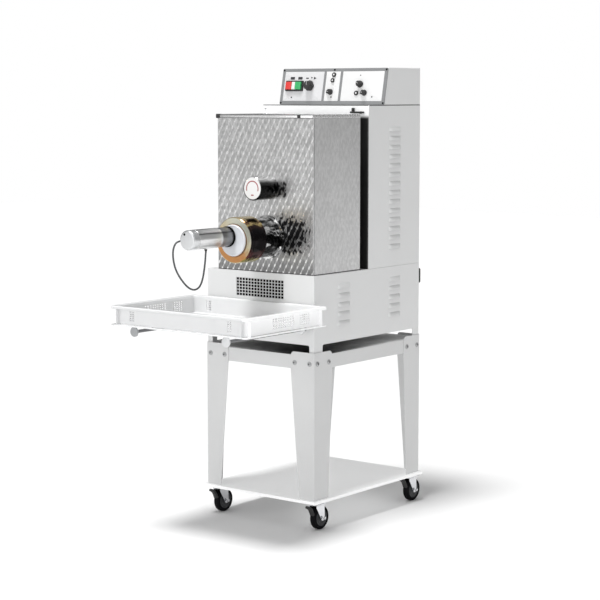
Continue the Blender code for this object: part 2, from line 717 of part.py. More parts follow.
def build_drive():
    """Auger, paddle, their gears and the gearmotor that turns them. Local Z of each points to the front."""
    auger_axis, paddle_axis = (AXIS_X, 0, AUGER_Z), (AXIS_X, 0, PADDLE_Z)
    make("auger", loft(auger_rings()), "stainless", auger_axis, FORWARD, smooth=50)
    shaft = rod(SHAFT_R, (0, 0, SHAFT_END), (0, 0, -HOP_FRONT - 0.004), 16)
    paddle = make("mixing_paddle", shaft, "stainless", paddle_axis, FORWARD)
    for number in range(PADDLE_ARMS):
        angle = math.radians(90 + 360 / PADDLE_ARMS * number)
        along = 0.085 + 0.042 * number
        join(paddle, rod(PADDLE_ARM_R, (0, 0, along), polar(BOWL_R - 0.012, angle, along), 10))
    for name, teeth, axis, lead_angle in (
        ("auger_gear", AUGER_TEETH, auger_axis, 90),
        ("paddle_gear", PADDLE_TEETH, paddle_axis, -90 + 180 / PADDLE_TEETH),
    ):
        blank = prism(gear_outline(teeth, math.radians(lead_angle)), "Z", -GEAR_BACK, -GEAR_FRONT)
        gear = make(name, blank, "cast_iron", axis, FORWARD)
        cut(gear, rod(SHAFT_R + GAP, (0, 0, -GEAR_BACK - PAST), (0, 0, -GEAR_FRONT + PAST), 16))
    half = GEARBOX_HALF
    outline = rounded((AXIS_X - half, DRIVE_Y - half), (AXIS_X + half, DRIVE_Y + half), 0.012, 3)
    make("gearbox", prism(outline, "Z", BASE_TOP + GAP, GEARBOX_TOP), "cast_iron")
    tall, wide = DRIVE_MOTOR_TALL, DRIVE_MOTOR_R
    body = ((0, 0), (0.040, 0), (0.060, 0.012), (0.066, 0.030), (0.066, tall - 0.031), (wide, tall - 0.026))
    body += ((wide, tall), (0, tall))
    make("drive_motor", turned(body, 24), "cast_iron", (AXIS_X, DRIVE_Y, BASE_TOP - tall), smooth=30)


def auger_rings():
    """A shaft that carries a helical fin: the fin is a lobe of the section, which turns once each pitch."""
    count, steps = 10, 50

    def ring(height, level, radius, fin_radius):
        turns = [2 * math.pi * (i / count + level / AUGER_PITCH) for i in range(count)]
        return [polar(fin_radius if i in (0, 1) else radius, turn, height) for i, turn in enumerate(turns)]

    rings = [ring(height, AUGER_START, SHAFT_R, SHAFT_R) for height in (SHAFT_END, AUGER_START - 0.0005)]
    for step in range(steps + 1):
        height = AUGER_START + (AUGER_FRONT - AUGER_START) * step / steps
        rings.append(ring(height, height, AUGER_CORE_R, AUGER_FIN_R))
    return rings


def polar(radius, angle, height):
    """The point at an angle and a distance round the Z axis."""
    return (radius * math.cos(angle), radius * math.sin(angle), height)


def gear_outline(teeth, lead_angle):
    """Involute teeth at a pressure angle of 20 degrees, one tooth centred on lead_angle."""
    pressure = math.radians(20)
    pitch_r = MODULE * teeth / 2
    base_r, root_r, tip_r = pitch_r * math.cos(pressure), pitch_r - 1.25 * MODULE, pitch_r + 0.95 * MODULE
    half_pitch = math.pi / (2 * teeth) - BACKLASH / (2 * pitch_r)

    def half_angle(radius):
        alpha = math.acos(min(1.0, base_r / radius))
        return half_pitch + (math.tan(pressure) - pressure) - (math.tan(alpha) - alpha)

    start_r = max(base_r, root_r + 0.0015)
    radii = (root_r, start_r, pitch_r, tip_r)
    points = []
    for tooth in range(teeth):
        middle = lead_angle + 2 * math.pi * tooth / teeth
        rise = [(radius, middle - half_angle(max(radius, start_r))) for radius in radii]
        fall = [(radius, 2 * middle - angle) for radius, angle in reversed(rise)]
        points += [(radius * math.cos(angle), radius * math.sin(angle)) for radius, angle in rise + fall]
    return points


# Extruder head and cutter


def build_head():
    """Barrel, ring nut, die, blade and cutter disc, each turned about the auger's axis."""
    axis = (AXIS_X, 0, AUGER_Z)
    flange = -HOP_FRONT + GAP
    profile = ((BORE_R, BARREL_END), (BARREL_R, BARREL_END), (BARREL_R, flange), (BARREL_FLANGE_R, flange))
    profile += ((BARREL_FLANGE_R, flange + 0.006), (COLLAR_R, flange + 0.008), (COLLAR_R, NUT_BACK - GAP))
    profile += ((NOSE_R, NUT_BACK - GAP), (NOSE_R, NOSE_END), (BORE_R, NOSE_END))
    barrel = make("extruder_barrel", turned(profile, 32, closed=True), "stainless", axis, FORWARD, smooth=30)
    cut(barrel, boxes(((-THROAT_X, 0.010, -THROAT_BACK), (THROAT_X, 0.060, -THROAT_FRONT))))
    bore, bevel = NOSE_R + GAP, 0.004
    nut = ((bore, NUT_BACK), (NUT_R - bevel, NUT_BACK), (NUT_R, NUT_BACK + bevel), (NUT_R, NUT_FRONT - bevel))
    nut += ((NUT_R - bevel, NUT_FRONT), (LIP_R, NUT_FRONT), (LIP_R, LIP_BACK), (bore, LIP_BACK))
    make("ring_nut", turned(nut, 40, closed=True), "brass", axis, FORWARD, smooth=30)
    step_r = LIP_R - GAP
    die = ((0, NOSE_END + GAP), (DIE_R, NOSE_END + GAP), (DIE_R, LIP_BACK - GAP), (step_r, LIP_BACK - GAP))
    die += ((step_r, DIE_FRONT), (0, DIE_FRONT))
    make("die", turned(die, 32), "bronze", axis, FORWARD, smooth=30)
    outline = rounded((-0.048, -0.006), (0.048, 0.006), 0.004, 2)
    make("cutter_blade", prism(outline, "Z", BLADE_BACK, BLADE_FRONT), "stainless", axis, FORWARD)
    radius = CUTTER_DISC_R
    disc = ((0, DISC_BACK), (radius, DISC_BACK), (radius, DISC_FRONT - 0.0013), (radius - 0.0015, DISC_FRONT))
    disc += ((0, DISC_FRONT),)
    make("cutter_disc", turned(disc, 32), "white_plastic", axis, FORWARD, smooth=30)


def build_cutter():
    """The cutter's motor and its cap, each with the gland that its lead enters by."""
    axis = (MOTOR_X, 0, MOTOR_Z)
    body = ((0, MOTOR_BACK), (MOTOR_R, MOTOR_BACK), (MOTOR_R, MOTOR_FRONT), (0, MOTOR_FRONT))
    motor = make("cutter_motor", turned(body, 32), "aluminium", axis, FORWARD, smooth=30)
    join(motor, rod(0.0050, (0, -MOTOR_R + 0.004, 0.590), (0, -MOTOR_R - 0.0035, 0.590), 12))
    start, bevel = MOTOR_FRONT + GAP, 0.003
    cap = ((0, start), (MOTOR_R, start), (MOTOR_R, CAP_FRONT - bevel), (MOTOR_R - bevel, CAP_FRONT))
    cap += ((0, CAP_FRONT),)
    cap = make("cutter_motor_cap", turned(cap, 32), "aluminium", axis, FORWARD, smooth=30)
    join(cap, rod(0.0045, (-MOTOR_R + 0.004, -0.004, 0.668), (-MOTOR_R - 0.0025, -0.004, 0.668), 12))
    build_lead()


def smooth_route(points, steps):
    """Cubic Hermite spans through the points, whose slopes are weighted by the distances between them."""
    slopes = [(points[1] - points[0]).normalized()]
    for before, after in zip(points, points[2:]):
        here = points[len(slopes)]
        slopes.append((after - before) / ((here - before).length + (after - here).length))
    slopes.append((points[-1] - points[-2]).normalized())
    route = []
    for i in range(len(points) - 1):
        span = (points[i + 1] - points[i]).length
        for step in range(steps):
            t = step / steps
            route.append(
                (2 * t**3 - 3 * t**2 + 1) * points[i]
                + (t**3 - 2 * t**2 + t) * span * slopes[i]
                + (3 * t**2 - 2 * t**3) * points[i + 1]
                + (t**3 - t**2) * span * slopes[i + 1]
            )
    route.append(points[-1])
    return route


def build_lead():
    """The lead as a smooth curve through its route, drawn as a poly line with round section."""
    route = smooth_route([Vector(point) for point in LEAD_POINTS], 3)
    curve = bpy.data.curves.new("cutter_lead", "CURVE")
    curve.dimensions = "3D"
    curve.bevel_depth = LEAD_R
    curve.bevel_resolution = 2
    curve.use_fill_caps = True
    spline = curve.splines.new("POLY")
    spline.points.add(len(route) - 1)
    for place_on, point in zip(spline.points, route):
        place_on.co = (*point, 1.0)
    obj = bpy.data.objects.new("cutter_lead", curve)
    bpy.context.scene.collection.objects.link(obj)
    curve.materials.append(material("lead"))
    obj.parent = machine


def build_knob():
    """The knob that holds the paddle's front bearing."""
    base, pin_r, bevel = -HOP_FRONT + GAP, 0.012, 0.004
    pin = base - SHEET - 2 * GAP
    profile = ((0, pin), (pin_r, pin), (pin_r, base), (KNOB_R - bevel, base), (KNOB_R, base + bevel))
    profile += ((KNOB_R, KNOB_FRONT - bevel), (KNOB_R - bevel, KNOB_FRONT), (0, KNOB_FRONT))
    make("paddle_lock_knob", turned(profile, 32), "stainless", (AXIS_X, 0, PADDLE_Z), FORWARD, smooth=30)


# Tray


def build_tray():
    """A crate with a flange at its top and at its foot."""
    wall = 0.003
    rim_radius = 0.010

    def ring(inset, height):
        low = (-TRAY_X + inset, TRAY_FRONT + inset)
        high = (TRAY_X - inset, TRAY_BACK - inset)
        return [(*point, height) for point in rounded(low, high, max(rim_radius - inset, 0.006))]

    outer = TRAY_RIM
    inner = TRAY_RIM + wall
    rings = [
        ring(0, TRAY_LOW),
        ring(0, TRAY_LOW + wall),
        ring(outer, TRAY_LOW + wall),
        ring(outer, TRAY_HIGH - wall),
        ring(0, TRAY_HIGH - wall),
        ring(0, TRAY_HIGH),
        ring(inner, TRAY_HIGH),
        ring(inner, TRAY_LOW + wall),
    ]
    make("catch_tray", loft(rings), "white_plastic")


def build_rods():
    """The two rods that the tray rests on, each with a collar at the cabinet and a disc at its end."""
    back, collar, disc, bevel = CAB_Y + GAP, ROD_COLLAR + DISC_THICK, ROD_FRONT - DISC_THICK, 0.001
    profile = ((0, back), (ROD_R, back), (ROD_R, ROD_COLLAR), (DISC_R, ROD_COLLAR), (DISC_R, collar))
    profile += ((ROD_R, collar), (ROD_R, disc), (DISC_R, disc), (DISC_R, ROD_FRONT - bevel))
    profile += ((DISC_R - bevel, ROD_FRONT), (0, ROD_FRONT))
    for side, x in (("left", -ROD_X), ("right", ROD_X)):
        make(f"tray_rod_{side}", turned(profile, 14), "stainless", (x, 0, ROD_Z), FORWARD, smooth=30)


def main():
    """Builds the machine at rest."""
    global machine
    clear_scene()
    machine = bpy.data.objects.new("machine", None)
    bpy.context.scene.collection.objects.link(machine)
    machine.location = (0, MACHINE_Y, 0)
    build_stand()
    build_cabinet()
    build_console()
    build_hopper()
    build_drive()
    build_head()
    build_cutter()
    build_knob()
    build_tray()
    build_rods()


main()
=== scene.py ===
"""Looks of a dough extruder: an enamelled cabinet with a pearled steel hopper, an extruder head with a
cutter, a catch tray and a castor stand. It is laid out as an add-on and run as a script. Metres, +Z up, and
-Y is the front.
"""

import json
import math

import bmesh
import bpy
import numpy as np
from bpy.props import FloatProperty, FloatVectorProperty, IntProperty, PointerProperty
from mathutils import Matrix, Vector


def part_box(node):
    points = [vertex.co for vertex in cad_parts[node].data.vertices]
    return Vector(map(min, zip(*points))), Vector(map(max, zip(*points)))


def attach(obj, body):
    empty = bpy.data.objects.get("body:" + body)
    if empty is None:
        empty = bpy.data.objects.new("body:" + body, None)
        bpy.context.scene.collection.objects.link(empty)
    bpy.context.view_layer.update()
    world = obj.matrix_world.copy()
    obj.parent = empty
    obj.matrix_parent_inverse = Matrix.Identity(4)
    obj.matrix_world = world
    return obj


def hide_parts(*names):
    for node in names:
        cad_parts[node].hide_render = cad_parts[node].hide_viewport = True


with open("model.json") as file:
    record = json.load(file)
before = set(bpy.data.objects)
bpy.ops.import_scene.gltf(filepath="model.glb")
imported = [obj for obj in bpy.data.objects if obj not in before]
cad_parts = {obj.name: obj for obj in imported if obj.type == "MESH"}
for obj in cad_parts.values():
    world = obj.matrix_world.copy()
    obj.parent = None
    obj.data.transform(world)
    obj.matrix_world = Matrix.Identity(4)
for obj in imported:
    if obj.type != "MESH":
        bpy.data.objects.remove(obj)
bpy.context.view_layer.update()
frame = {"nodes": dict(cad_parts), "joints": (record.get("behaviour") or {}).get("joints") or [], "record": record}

bl_info = {
    "name": "Dough extruder",
    "version": (1, 0, 0),
    "blender": (4, 5, 0),
    "location": "3D View > Sidebar > Extruder",
    "description": "Builds the looks of a dough extruder round its packed frame",
    "category": "Object",
}

# Points nearer to each other than this are one
MERGE = 1e-6
# Keeps a turned face clear of the sheet behind it
PROUD = 0.0003
# How far a piece that is set on a sheet reaches into it
SKIN = 0.0002
ENDS = ("front", "rear")
SIDES = ("left", "right")
CORNERS = tuple(f"{end}_{side}" for end in ENDS for side in SIDES)


def span(node):
    """The lowest and highest corner of a CAD node as arrays."""
    low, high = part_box(node)
    return np.array(low), np.array(high)


# The places that the pieces are worked out from
SHELF_LOW, SHELF_HIGH = span("bottom_shelf")
MIDDLE_Y = (SHELF_LOW[1] + SHELF_HIGH[1]) / 2
BASE_LOW, BASE_HIGH = span("base_housing")
COLUMN_LOW, COLUMN_HIGH = span("column_housing")
CONSOLE_LOW, CONSOLE_HIGH = span("console_housing")
FASCIA_LOW = span("console_fascia")[0]
HOPPER_LOW, HOPPER_HIGH = span("hopper_housing")
LID_LOW, LID_HIGH = span("lid")
NUT_LOW, NUT_HIGH = span("ring_nut")
KNOB_LOW, KNOB_HIGH = span("paddle_lock_knob")
MOTOR_LOW, MOTOR_HIGH = span("cutter_motor")
TRAY_LOW, TRAY_HIGH = span("catch_tray")
GRILLE_LOW, GRILLE_HIGH = span("front_grille")
NUT_X, NUT_Z = (NUT_LOW[0] + NUT_HIGH[0]) / 2, (NUT_LOW[2] + NUT_HIGH[2]) / 2
KNOB_X, KNOB_Z = (KNOB_LOW[0] + KNOB_HIGH[0]) / 2, (KNOB_LOW[2] + KNOB_HIGH[2]) / 2
TUBE_R = (MOTOR_HIGH[0] - MOTOR_LOW[0]) / 2
TUBE_X, TUBE_Z = MOTOR_LOW[0] + TUBE_R, MOTOR_HIGH[2] - TUBE_R
# The tube's neck, which is a little thinner, runs this far from its back
TUBE_NECK = 0.058


# Settings


class PaintSettings(bpy.types.PropertyGroup):
    """Colours of the enamelled sheet and the plastic parts."""

    white: FloatVectorProperty(
        name="White",
        description="Enamel of the cabinet and stand",
        subtype="COLOR",
        default=(0.80, 0.805, 0.805),
    )
    grey: FloatVectorProperty(
        name="Grey", description="Bezel of the control panel", subtype="COLOR", default=(0.25, 0.255, 0.26)
    )
    tray: FloatVectorProperty(
        name="Tray",
        description="Milky plastic of the catch tray",
        subtype="COLOR",
        default=(0.86, 0.865, 0.87),
    )
    black: FloatVectorProperty(
        name="Black",
        description="Knobs, pedals and switch frames",
        subtype="COLOR",
        default=(0.005, 0.005, 0.0055),
    )
    red: FloatVectorProperty(
        name="Red", description="Stop button", subtype="COLOR", default=(0.38, 0.006, 0.016)
    )
    green: FloatVectorProperty(
        name="Green", description="Start button", subtype="COLOR", default=(0.040, 0.30, 0.12)
    )


class SteelSettings(bpy.types.PropertyGroup):
    """The pearled pattern of the hopper: overlapping discs in staggered rows."""

    pitch: FloatProperty(name="Pitch", description="Disc to disc along a row", default=0.0242, unit="LENGTH")
    rise: FloatProperty(name="Rise", description="Row to row", default=0.0218, unit="LENGTH")
    slant: FloatProperty(
        name="Slant", description="Lean of each disc's glint", default=math.radians(68), subtype="ANGLE"
    )
    glint_length: FloatProperty(
        name="Glint length", description="Half its length", default=0.0088, unit="LENGTH"
    )
    glint_width: FloatProperty(
        name="Glint width", description="Half its width", default=0.0044, unit="LENGTH"
    )
    dark: FloatProperty(name="Dark", description="Steel between the glints", default=0.40, min=0, max=1)


class HeadSettings(bpy.types.PropertyGroup):
    """Metals of the extruder head."""

    brass: FloatVectorProperty(
        name="Brass", description="Ring nut", subtype="COLOR", default=(0.62, 0.52, 0.33)
    )
    bronze: FloatVectorProperty(
        name="Bronze", description="Die", subtype="COLOR", default=(0.55, 0.27, 0.11)
    )
    edge: FloatProperty(name="Edge", description="Round of turned edges", default=0.0016, unit="LENGTH")


class SheetSettings(bpy.types.PropertyGroup):
    """Folds, fasteners and louvres of the sheet metal."""

    fold: FloatProperty(name="Fold", description="Radius of a cabinet fold", default=0.0028, unit="LENGTH")
    leg_fold: FloatProperty(
        name="Leg fold", description="Radius of a leg's fold", default=0.0050, unit="LENGTH"
    )
    bolt: FloatProperty(name="Bolt", description="Radius of a bolt's head", default=0.0062, unit="LENGTH")
    louvre_length: FloatProperty(name="Louvre length", description="Its slot", default=0.069, unit="LENGTH")
    louvre_depth: FloatProperty(
        name="Louvre depth", description="How far it stands out", default=0.0062, unit="LENGTH"
    )
    louvre_pitch: FloatProperty(
        name="Louvre pitch", description="Louvre to louvre", default=0.0311, unit="LENGTH"
    )
    column_louvres: IntProperty(name="Column louvres", description="How many on the column", default=14)
    base_louvres: IntProperty(name="Base louvres", description="How many in each group below", default=5)


class TraySettings(bpy.types.PropertyGroup):
    """Sizes of the catch tray's mouldings."""

    wall: FloatProperty(name="Wall", description="Thickness of its wall", default=0.0026, unit="LENGTH")
    lip: FloatProperty(name="Lip", description="Turned-down edge of the rim", default=0.0085, unit="LENGTH")
    rib: FloatProperty(name="Rib", description="Thickness of a rib", default=0.0016, unit="LENGTH")
    cell: FloatProperty(
        name="Cell",
        description="Step of the walls' grid, a slot being two wide",
        default=0.0043,
        unit="LENGTH",
    )


class LeadSettings(bpy.types.PropertyGroup):
    """The cutter motor's lead."""

    diameter: FloatProperty(name="Diameter", description="Over its jacket", default=0.0060, unit="LENGTH")
    steps: IntProperty(name="Steps", description="Points between two of its route", default=8)


class StageSettings(bpy.types.PropertyGroup):
    """Floor, lights and camera."""

    place: FloatVectorProperty(
        name="Camera", description="Where it stands", subtype="TRANSLATION", default=(3.7631, -4.6876, 1.4486)
    )
    turn: FloatVectorProperty(
        name="Turn",
        description="Its rotation",
        subtype="EULER",
        default=(math.radians(83.4065), 0.0, math.radians(38.1078)),
    )
    lens: FloatProperty(name="Lens", description="Focal length in mm on a 36 mm sensor", default=106.44)
    top_light: FloatProperty(name="Top light", description="Strength of the light overhead", default=2.5)
    key_light: FloatProperty(name="Key light", description="Strength of the light in front", default=0.62)
    ambient: FloatProperty(name="Ambient", description="Strength of the light all round", default=0.45)


SETTINGS = {
    "extruder_paint": PaintSettings,
    "extruder_steel": SteelSettings,
    "extruder_head": HeadSettings,
    "extruder_sheet": SheetSettings,
    "extruder_tray": TraySettings,
    "extruder_lead": LeadSettings,
    "extruder_stage": StageSettings,
}


# Shader maths


class Value:
    """A socket of a node tree. Arithmetic on it adds Math nodes."""

    def __init__(self, nodes, socket):
        self.nodes, self.socket = nodes, socket

    def _math(self, operation, *values):
        return self.nodes.node("ShaderNodeMath", {"operation": operation}, dict(enumerate(values)))

    def __add__(self, other):
        return self._math("ADD", self, other)

    def __sub__(self, other):
        return self._math("SUBTRACT", self, other)

    def __rsub__(self, other):
        return self._math("SUBTRACT", other, self)

    def __mul__(self, other):
        return self._math("MULTIPLY", self, other)

    def __truediv__(self, other):
        return self._math("DIVIDE", self, other)

    def __pow__(self, other):
        return self._math("POWER", self, other)

    def __abs__(self):
        return self._math("ABSOLUTE", self)

    __radd__, __rmul__ = __add__, __mul__

    def floor(self):
        return self._math("FLOOR", self)

    def sine(self):
        return self._math("SINE", self)

    def most(self, other):
        return self._math("MAXIMUM", self, other)

    def angle_to(self, across):
        """The angle of (across, self), in radians."""
        return self._math("ARCTAN2", self, across)

    def rise(self, low, high):
        """0 below low, 1 above high, and a smooth step between."""
        inputs = {"Value": self, "From Min": low, "From Max": high}
        return self.nodes.node("ShaderNodeMapRange", {"interpolation_type": "SMOOTHSTEP"}, inputs)


class Nodes:
    """A node tree, with one method that adds any node."""

    def __init__(self, tree):
        self.tree = tree

    def node(self, kind, settings=None, inputs=None, output=0):
        """Adds a node. Settings come first, a ramp's stops among them, then the sockets' values or links."""
        made = self.tree.nodes.new(kind)
        for key, value in (settings or {}).items():
            if key == "stops":
                self.set_stops(made.color_ramp, value)
            else:
                setattr(made, key, value)
        for key, value in (inputs or {}).items():
            self.feed(made.inputs[key], value)
        return Value(self, made.outputs[output])

    def feed(self, socket, value):
        if isinstance(value, Value):
            self.tree.links.new(value.socket, socket)
        elif socket.type == "RGBA" and len(value) == 3:
            socket.default_value = (*value, 1.0)
        else:
            socket.default_value = value

    @staticmethod
    def set_stops(ramp, stops):
        while len(ramp.elements) < len(stops):
            ramp.elements.new(1.0)
        for element, (position, colour) in zip(ramp.elements, stops):
            element.position = position
            element.color = (*colour, 1.0) if hasattr(colour, "__len__") else (colour, colour, colour, 1.0)


class Finish(Nodes):
    """A material round one Principled shader."""

    def __init__(self, name, roughness, metallic=0.0, **constants):
        self.material = bpy.data.materials.new(name)
        self.material.use_nodes = True
        super().__init__(self.material.node_tree)
        self.shader = self.tree.nodes["Principled BSDF"]
        self.paint("Roughness", roughness)
        self.paint("Metallic", metallic)
        for key, value in constants.items():
            self.paint(key.replace("_", " ").title().replace("Ior", "IOR"), value)
        self.where = self.node("ShaderNodeTexCoord", output="Object")

    def paint(self, socket, value):
        self.feed(self.shader.inputs[socket], value)

    def axes(self):
        """The three coordinates on the object, in metres."""
        split = self.node("ShaderNodeSeparateXYZ", inputs={0: self.where}).socket.node
        return [Value(self, socket) for socket in split.outputs]

    def mix(self, factor, first, second):
        """From the first colour to the second as factor goes from 0 to 1."""
        ends = [(end,) * 3 if isinstance(end, (int, float)) else end for end in (first, second)]
        return self.node("ShaderNodeMix", {"data_type": "RGBA"}, {0: factor, 6: ends[0], 7: ends[1]}, 2)

    def noise(self, scale, stretch=(1, 1, 1), detail=3.0):
        """Cloudy values about 0.5 of one period per 1/scale metres, drawn out along the axes by stretch."""
        factors = tuple(scale / s for s in stretch)
        place = self.node("ShaderNodeVectorMath", {"operation": "MULTIPLY"}, {0: self.where, 1: factors})
        return self.node("ShaderNodeTexNoise", inputs={"Vector": place, "Scale": 1.0, "Detail": detail})

    def ramp(self, value, stops):
        return self.node("ShaderNodeValToRGB", {"stops": stops}, {"Fac": value})

    def bump(self, height, strength, distance=0.001):
        inputs = {"Height": height, "Strength": strength, "Distance": distance}
        self.paint("Normal", self.node("ShaderNodeBump", inputs=inputs))


# Finishes


def tinted(colour, share):
    """A colour made lighter or darker by a share."""
    return tuple(min(1.0, channel * share) for channel in colour)


def white_enamel():
    """Baked enamel: an orange-peel surface, slow drifts of tone, and a trace of floor dust near the shelf."""
    white = tuple(bpy.context.scene.extruder_paint.white)
    made = Finish("white_enamel", 0.38, coat_weight=0.18, coat_roughness=0.22)
    _, _, z = made.axes()
    drift = made.noise(3.2, detail=2.0)
    dust = made.noise(38.0).rise(0.45, 0.75) * (1 - z.rise(0.02, 0.20)) * 0.35
    tone = made.mix(drift, tinted(white, 0.975), tinted(white, 1.025))
    made.paint("Base Color", made.mix(dust, tone, (0.52, 0.51, 0.49)))
    made.paint("Roughness", 0.30 + made.noise(26.0) * 0.16)
    made.bump(made.noise(520.0, detail=1.0), 0.05, 0.0004)
    return made


def column_front_painted_shade_and_glow():
    """The enamel of the column's front with painted shade where the hopper hides it from the light: near black
    behind the hopper and grey towards its right-hand edge. Above the hopper a painted glow (white emission) makes
    it bright."""
    white = tuple(bpy.context.scene.extruder_paint.white)
    # The emission is a painted glow, not a lamp
    made = Finish("column_front_painted_shade_and_glow", 0.40, coat_weight=0.1, emission_strength=0.30)
    x, _, z = made.axes()
    drift = made.noise(3.2, detail=2.0)
    below = 1 - z.rise(HOPPER_HIGH[2] - 0.004, HOPPER_HIGH[2] + 0.012)
    # Painted shade where the hopper stands in front of the column
    behind = below * x.rise(HOPPER_LOW[0], HOPPER_LOW[0] + 0.01)
    # Painted shade across the strip of the front that shows beside the hopper, from near black to grey
    edge = x.rise(0.2235, 0.2310)
    tone = made.mix(drift, tinted(white, 0.975), tinted(white, 1.025))
    shade = made.mix(edge, (0.016, 0.016, 0.016), (0.20, 0.20, 0.20))
    made.paint("Base Color", made.mix(behind, tone, shade))
    # Painted glow: white emission wherever there is no painted shade
    made.paint("Emission Color", made.mix(behind, (1.0, 1.0, 1.0), (0.0, 0.0, 0.0)))
    made.paint("Roughness", 0.34 + made.noise(26.0) * 0.12)
    return made


def gap_plate():
    """The plate between stand and cabinet, with painted shade: deep shade at its front right corner, and grey
    towards the back."""
    made = Finish("gap_plate", 0.6, specular_ior_level=0.2)
    x, y, _ = made.axes()
    # Painted shade, darkest at the front right and lighter towards the back and the left
    shade = (y.rise(-0.09, 0.42) + (1 - x.rise(-0.23, 0.16)) * 0.6) * 0.9
    grain = made.noise(90.0, stretch=(1, 6, 1))
    made.paint("Base Color", made.mix(shade * (0.6 + grain * 0.8), (0.006, 0.006, 0.006), (0.85, 0.85, 0.85)))
    made.paint("Roughness", 0.5 + grain * 0.2)
    return made


def enamel(name, share, glow=0.0):
    """The white enamel lighter or darker by a share, with a grain of fine specks. glow is the strength of a
    painted glow, a white emission.
    """
    white = tuple(bpy.context.scene.extruder_paint.white)
    made = Finish(name, 0.42, coat_weight=0.12, coat_roughness=0.25, emission_strength=glow)
    drift = made.noise(5.0, detail=3.0)
    speck = made.noise(260.0, detail=2.0)
    low, high = tinted(white, share * 0.94), tinted(white, share * 1.05)
    made.paint("Base Color", made.mix(drift * 0.7 + speck * 0.3, low, high))
    made.paint("Roughness", 0.34 + made.noise(26.0) * 0.16)
    made.paint("Emission Color", (1.0, 1.0, 1.0))
    made.bump(speck, 0.06, 0.0003)
    return made


def leg_enamel():
    return enamel("leg_enamel", 0.92)


# A darker copy of the legs' enamel for their front faces: painted shade
def leg_front():
    return enamel("leg_front", 0.88)


def grille_enamel():
    return enamel("grille_enamel", 0.85)


def shelf_enamel_painted_glow():
    # A lighter copy of the enamel with a painted glow, which brightens the shelf as light would
    return enamel("shelf_enamel_painted_glow", 1.10, 0.28)


def grey_enamel():
    """Satin grey paint with the faint lines of a brushed plate under it."""
    grey = tuple(bpy.context.scene.extruder_paint.grey)
    made = Finish("grey_enamel", 0.42)
    lines = made.noise(90.0, stretch=(30, 1, 1), detail=4.0)
    made.paint("Base Color", made.mix(lines, tinted(grey, 0.82), tinted(grey, 1.18)))
    made.paint("Roughness", 0.34 + lines * 0.15)
    made.bump(lines, 0.08, 0.0003)
    return made


def pearl(name, across, dark, wide, contrast=1.0):
    """Pearled steel. Each disc of a staggered lattice is a set of fine rings with one slanted glint, a painted
    highlight; a second lattice half a step away shows the discs beneath. across is the level axis of the face,
    dark the steel's tone, wide the glint's width and contrast the strength of its flecks."""
    steel = bpy.context.scene.extruder_steel
    made = Finish(name, 0.3, 1.0)
    axes = made.axes()
    side, up = axes[across], axes[2]
    wander = made.noise(22.0, detail=2.0)
    glints, rings = [], []
    for offset, share in ((0.0, 1.0), (0.5, 0.50)):
        level = (up + (wander - 0.5) * 0.004) / steel.rise + offset
        row = level.floor()
        place = side / steel.pitch + row * 0.5 + offset * 0.5
        du = (place - place.floor() - 0.5) * steel.pitch
        dv = (level - row - 0.5) * steel.rise
        lean_x, lean_z = math.cos(steel.slant), math.sin(steel.slant)
        along = abs(du * lean_x + dv * lean_z)
        beside = abs(dv * lean_x - du * lean_z + dv * abs(dv) * 9.0)
        taper = 1 - along.rise(steel.glint_length * 0.35, steel.glint_length)
        width = steel.glint_width * wide * (1.0 if share == 1.0 else 0.6)
        glints.append((1 - beside.rise(width * 0.25, width)) * taper * share)
        rings.append((du * du + dv * dv) ** 0.5)
    fleck = made.noise(150.0, stretch=(1, 1, 2.0), detail=4.0)
    # The glints are painted highlights, laid into the colour
    glint = glints[0].most(glints[1]) * (0.55 + fleck.rise(0.3, 0.62) * 0.45)
    ring_lines = (rings[0] * (2 * math.pi / 0.0021)).sine() * 0.5 + 0.5
    low, high = tinted((dark,) * 3, 1 - 0.20 * contrast), tinted((dark,) * 3, 1 + 0.25 * contrast)
    base = made.mix(made.noise(7.0, detail=2.0), low, high)
    lift = (fleck.rise(0.35, 0.7) * 0.55 + ring_lines * 0.15) * contrast
    shaded = made.mix(lift, base, (dark * 1.9,) * 3)
    return made, axes, shaded, glint, ring_lines


def pearl_front():
    """The hopper's front: strong painted glints, painted dark reflections of the head and the knob, and painted
    shade towards its foot.
    """
    steel = bpy.context.scene.extruder_steel
    made, axes, shaded, glint, ring_lines = pearl("pearl_front", 0, steel.dark, 1.0)
    x, _, z = axes

    def painted_reflection_pool(centre_x, centre_z, reach_x, reach_z):
        far = ((x - centre_x) / reach_x) ** 2 + ((z - centre_z) / reach_z) ** 2
        return 1 - far.rise(0.0, 1.0)

    # Painted reflections: dark pools beside the nut and the knob
    beside_nut = painted_reflection_pool(NUT_X + 0.090, NUT_Z + 0.012, 0.118, 0.086)
    beside_knob = painted_reflection_pool(KNOB_X + 0.055, KNOB_Z - 0.005, 0.040, 0.036)
    mirror = beside_nut.most(beside_knob)
    # Painted shade, darker towards the hopper's foot
    foot = (1 - z.rise(HOPPER_LOW[2], HOPPER_LOW[2] + 0.11)) * 0.60
    shaded = made.mix(foot, shaded, (0.05, 0.05, 0.05))
    patches = made.noise(120.0, stretch=(1, 1, 1.3), detail=0.0)
    ragged_painted_reflection = (mirror * 1.08 + (patches - 0.5) * 2.4).rise(0.36, 0.86) * mirror.rise(0.02, 0.40)
    shaded = made.mix(ragged_painted_reflection * 0.95, shaded, (0.006, 0.006, 0.008))
    # Painted highlights of the glints over the steel
    made.paint("Base Color", made.mix(glint, shaded, (0.98,) * 3))
    made.paint("Roughness", 0.34 - glint * 0.10)
    made.bump(ring_lines, 0.12, 0.0004)
    return made


